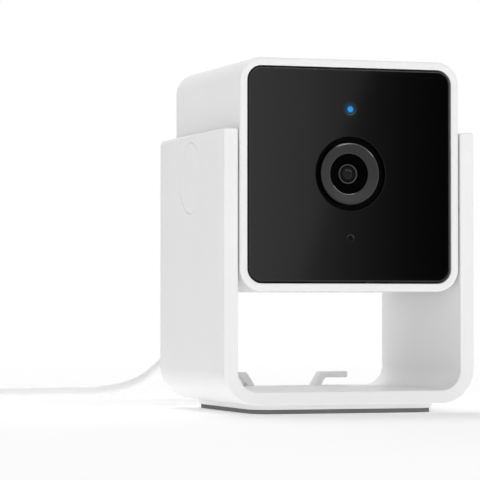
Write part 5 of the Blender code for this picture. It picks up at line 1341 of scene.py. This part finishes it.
@dataclass
class Inside:
    """What stays as it was packed: fasteners, seals, boards and what they carry."""

    finishes: dict[str, Surface] = field(
        default_factory=lambda: {surface.value.slot: surface for surface in Surface}
    )

    def build(self) -> None:
        """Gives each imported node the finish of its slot."""
        for row in frame["record"]["subparts"]:
            self.finishes[row["material_slot"]].dress(frame["nodes"][row["node"]])
        log.info("%d packed nodes dressed", len(frame["nodes"]))


@dataclass
class Studio:
    """The camera, a pale floor, soft lamps and the card that the glass reflects."""

    eye: tuple[float, float, float] = (-212.656 * MM, -588.215 * MM, 24.509 * MM)
    target: tuple[float, float, float] = (-17.935 * MM, 0.0, 39.42 * MM)
    focal_pixels: float = 2678.34
    frame_pixels: float = 480.0
    sensor: float = 36.0
    floor_colour: str = "fcfcfc"
    floor_lift: float = 0.18
    floor_bounce: float = 0.38
    white_from: float = 200 * MM
    white_past: float = 600 * MM
    ambient: float = 0.25
    lit: tuple[float, float, float] = (0.0, 0.0, 40 * MM)
    card_y: float = -1000 * MM
    card_low: tuple[float, float] = (200 * MM, -200 * MM)
    card_high: tuple[float, float] = (620 * MM, 380 * MM)

    def camera(self) -> None:
        """The camera, where the photograph was taken from."""
        data = bpy.data.cameras.new("studio_camera")
        data.sensor_width, data.lens = self.sensor, self.focal_pixels / self.frame_pixels * self.sensor
        data.clip_start, data.clip_end = 10 * MM, 50.0
        camera = bpy.data.objects.new("studio_camera", data)
        bpy.context.scene.collection.objects.link(camera)
        camera.location = self.eye
        camera.rotation_euler = (Vector(self.target) - Vector(self.eye)).to_track_quat("-Z", "Y").to_euler()
        bpy.context.scene.camera = camera

    def seen(self, tree: bpy.types.NodeTree) -> Any:
        """A socket that is 1 for rays that show the studio: from the camera, mirrored or through glass."""
        path = add_node(tree, "ShaderNodeLightPath", {}, {}).outputs
        mirrored = add_node(
            tree, "ShaderNodeMath", {"operation": "MAXIMUM"}, {0: path["Is Glossy Ray"], 1: path["Is Transmission Ray"]}
        )
        return add_node(
            tree, "ShaderNodeMath", {"operation": "MAXIMUM"}, {0: path["Is Camera Ray"], 1: mirrored.outputs[0]}
        ).outputs[0]

    def world(self) -> None:
        """White where it shows, and a plain soft light for surfaces."""
        world = bpy.data.worlds.new("studio")
        bpy.context.scene.world = world
        world.use_nodes = True
        tree = world.node_tree
        tree.nodes.clear()
        soft = add_node(tree, "ShaderNodeBackground", {}, {"Color": (1, 1, 1, 1), "Strength": self.ambient})
        white = add_node(tree, "ShaderNodeBackground", {}, {"Color": (1, 1, 1, 1), "Strength": 1.0})
        mixed = add_node(tree, "ShaderNodeMixShader", {}, {0: self.seen(tree), 1: soft.outputs[0], 2: white.outputs[0]})
        add_node(tree, "ShaderNodeOutputWorld", {}, {"Surface": mixed.outputs[0]})

    def floor(self) -> None:
        """A pale floor that keeps the object's shadow and turns to the background's white far off."""
        only()
        bpy.ops.mesh.primitive_plane_add(size=8, location=(0, 0, -0.02 * MM))
        floor = bpy.context.active_object
        floor.name = "studio_floor"
        made = bpy.data.materials.new("studio_paper")
        made.use_nodes = True
        tree = made.node_tree
        tree.nodes.clear()
        seen = self.seen(tree)
        place = add_node(tree, "ShaderNodeTexCoord", {}, {}).outputs["Object"]
        away = add_node(tree, "ShaderNodeVectorMath", {"operation": "LENGTH"}, {0: place}).outputs["Value"]
        limits = {"From Min": self.white_from, "From Max": self.white_past}
        far = add_node(
            tree, "ShaderNodeMapRange", {"interpolation_type": "SMOOTHSTEP"}, {"Value": away, **limits}
        ).outputs[0]
        matt = add_node(tree, "ShaderNodeBsdfDiffuse", {}, {"Color": linear(self.floor_colour)})
        lift = add_node(tree, "ShaderNodeMix", {}, {0: seen, 2: self.floor_bounce, 3: self.floor_lift})
        glow = add_node(tree, "ShaderNodeEmission", {}, {"Color": (1, 1, 1, 1), "Strength": lift.outputs[0]})
        both = add_node(tree, "ShaderNodeAddShader", {}, {0: matt.outputs[0], 1: glow.outputs[0]})
        hidden = add_node(tree, "ShaderNodeMath", {"operation": "MULTIPLY"}, {0: far, 1: seen}).outputs[0]
        white = add_node(tree, "ShaderNodeEmission", {}, {"Color": (1, 1, 1, 1), "Strength": 1.0})
        shown = add_node(tree, "ShaderNodeMixShader", {}, {0: hidden, 1: both.outputs[0], 2: white.outputs[0]})
        add_node(tree, "ShaderNodeOutputMaterial", {}, {"Surface": shown.outputs[0]})
        floor.data.materials.append(made)

    def lamp(
        self, name: str, place: Point, size: Point, power: float, mirrored: bool = True, aim: Point | None = None
    ) -> None:
        """A soft lamp.

        Args:
            name: What it is called.
            place: Its middle.
            size: Its width and height.
            power: In watts.
            mirrored: Whether glossy surfaces show it.
            aim: What it points at, the object if nothing is given.
        """
        data = bpy.data.lights.new(name, "AREA")
        data.shape, (data.size, data.size_y), data.energy = "RECTANGLE", size, power
        lamp = bpy.data.objects.new(name, data)
        bpy.context.scene.collection.objects.link(lamp)
        lamp.location = place
        lamp.rotation_euler = (Vector(aim or self.lit) - Vector(place)).to_track_quat("-Z", "Y").to_euler()
        lamp.visible_glossy = mirrored
        lamp.visible_camera = False

    def card(self) -> None:
        """The card in front, at the right: the glass mirrors its fall from grey to black."""
        only()
        bpy.ops.mesh.primitive_plane_add(size=1)
        card = bpy.context.active_object
        card.name = "studio_card"
        (x0, z0), (x1, z1) = self.card_low, self.card_high
        for corner, (x, z) in zip(card.data.vertices, ((x0, z0), (x1, z0), (x0, z1), (x1, z1))):
            corner.co = (x, self.card_y, z)
        made = bpy.data.materials.new("studio_card_paint")
        made.use_nodes = True
        tree = made.node_tree
        tree.nodes.clear()
        place = add_node(tree, "ShaderNodeTexCoord", {}, {}).outputs["Object"]
        parts = add_node(tree, "ShaderNodeSeparateXYZ", {}, {0: place}).outputs
        falls = []
        for steps in (
            ((250, 1.0), (305, 0.78), (336, 0.63), (352, 0.50), (375, 0.37), (420, 0.25), (480, 0.1)),
            ((250, 0.9), (305, 0.6), (344, 0.36), (360, 0.25), (375, 0.16), (391, 0.094), (407, 0.042), (430, 0.01)),
        ):
            along = add_node(tree, "ShaderNodeMapRange", {}, {"Value": parts[0], "From Min": 0.25, "From Max": 0.5})
            ramp = add_node(tree, "ShaderNodeValToRGB", {}, {0: along.outputs[0]})
            marks = ramp.color_ramp.elements
            while len(marks) < len(steps):
                marks.new(1.0)
            for mark, (x, tone) in zip(marks, steps):
                mark.position, mark.color = (x - 250) / 250, (tone, tone, tone, 1)
            falls.append(ramp.outputs[0])
        # The card's edge leans: 0.323 to the right for each unit up, through (336.4, 38.2) mm
        lean = add_node(tree, "ShaderNodeMath", {"operation": "MULTIPLY_ADD"}, {0: parts[2], 1: -0.323, 2: parts[0]})
        limits = {"From Min": 0.3241 - 0.007, "From Max": 0.3241 + 0.007}
        past = add_node(tree, "ShaderNodeMapRange", {"interpolation_type": "SMOOTHSTEP"}, {"Value": lean.outputs[0], **limits})
        tone = add_node(tree, "ShaderNodeMix", {"data_type": "RGBA"}, {0: past.outputs[0], 6: falls[0], 7: falls[1]})
        glow = add_node(tree, "ShaderNodeEmission", {}, {"Color": tone.outputs[2], "Strength": 1.0})
        add_node(tree, "ShaderNodeOutputMaterial", {}, {"Surface": glow.outputs[0]})
        card.data.materials.append(made)
        card.visible_camera = card.visible_diffuse = card.visible_shadow = card.visible_transmission = False

    def build(self) -> None:
        """Sets the studio up."""
        bpy.context.scene.view_settings.view_transform = "Standard"
        self.camera()
        self.world()
        self.floor()
        self.card()
        self.lamp("front_lamp", (-0.1, -1.5, 0.26), (1.6, 0.5), 3.8, mirrored=False)
        self.lamp("left_lamp", (-1.1, -1.0, 0.4), (0.6, 0.6), 0.5, mirrored=False)
        self.lamp("rear_lamp", (0.1, 1.5, 0.6), (1.2, 0.8), 5.0, mirrored=False)
        self.lamp("top_lamp", (-0.1, 0.4, 1.4), (0.8, 0.8), 8.4, mirrored=False)
        self.lamp("strip_lamp", (0.9, -0.78, 1.1), (2.6, 0.08), 6.6, aim=(0.9, -0.78, 0.0))


def main() -> None:
    """Builds the studio and every piece."""
    logging.basicConfig(level=logging.INFO, format="%(message)s")
    Studio().build()
    PowerLead().build(Plugs().build())
    for assembly in (Base(), Stand(), Housing(), FrontGlass(), Lens(), Inside()):
        assembly.build()
        log.info("%s done", type(assembly).__name__)


if __name__ == "__main__":
    main()
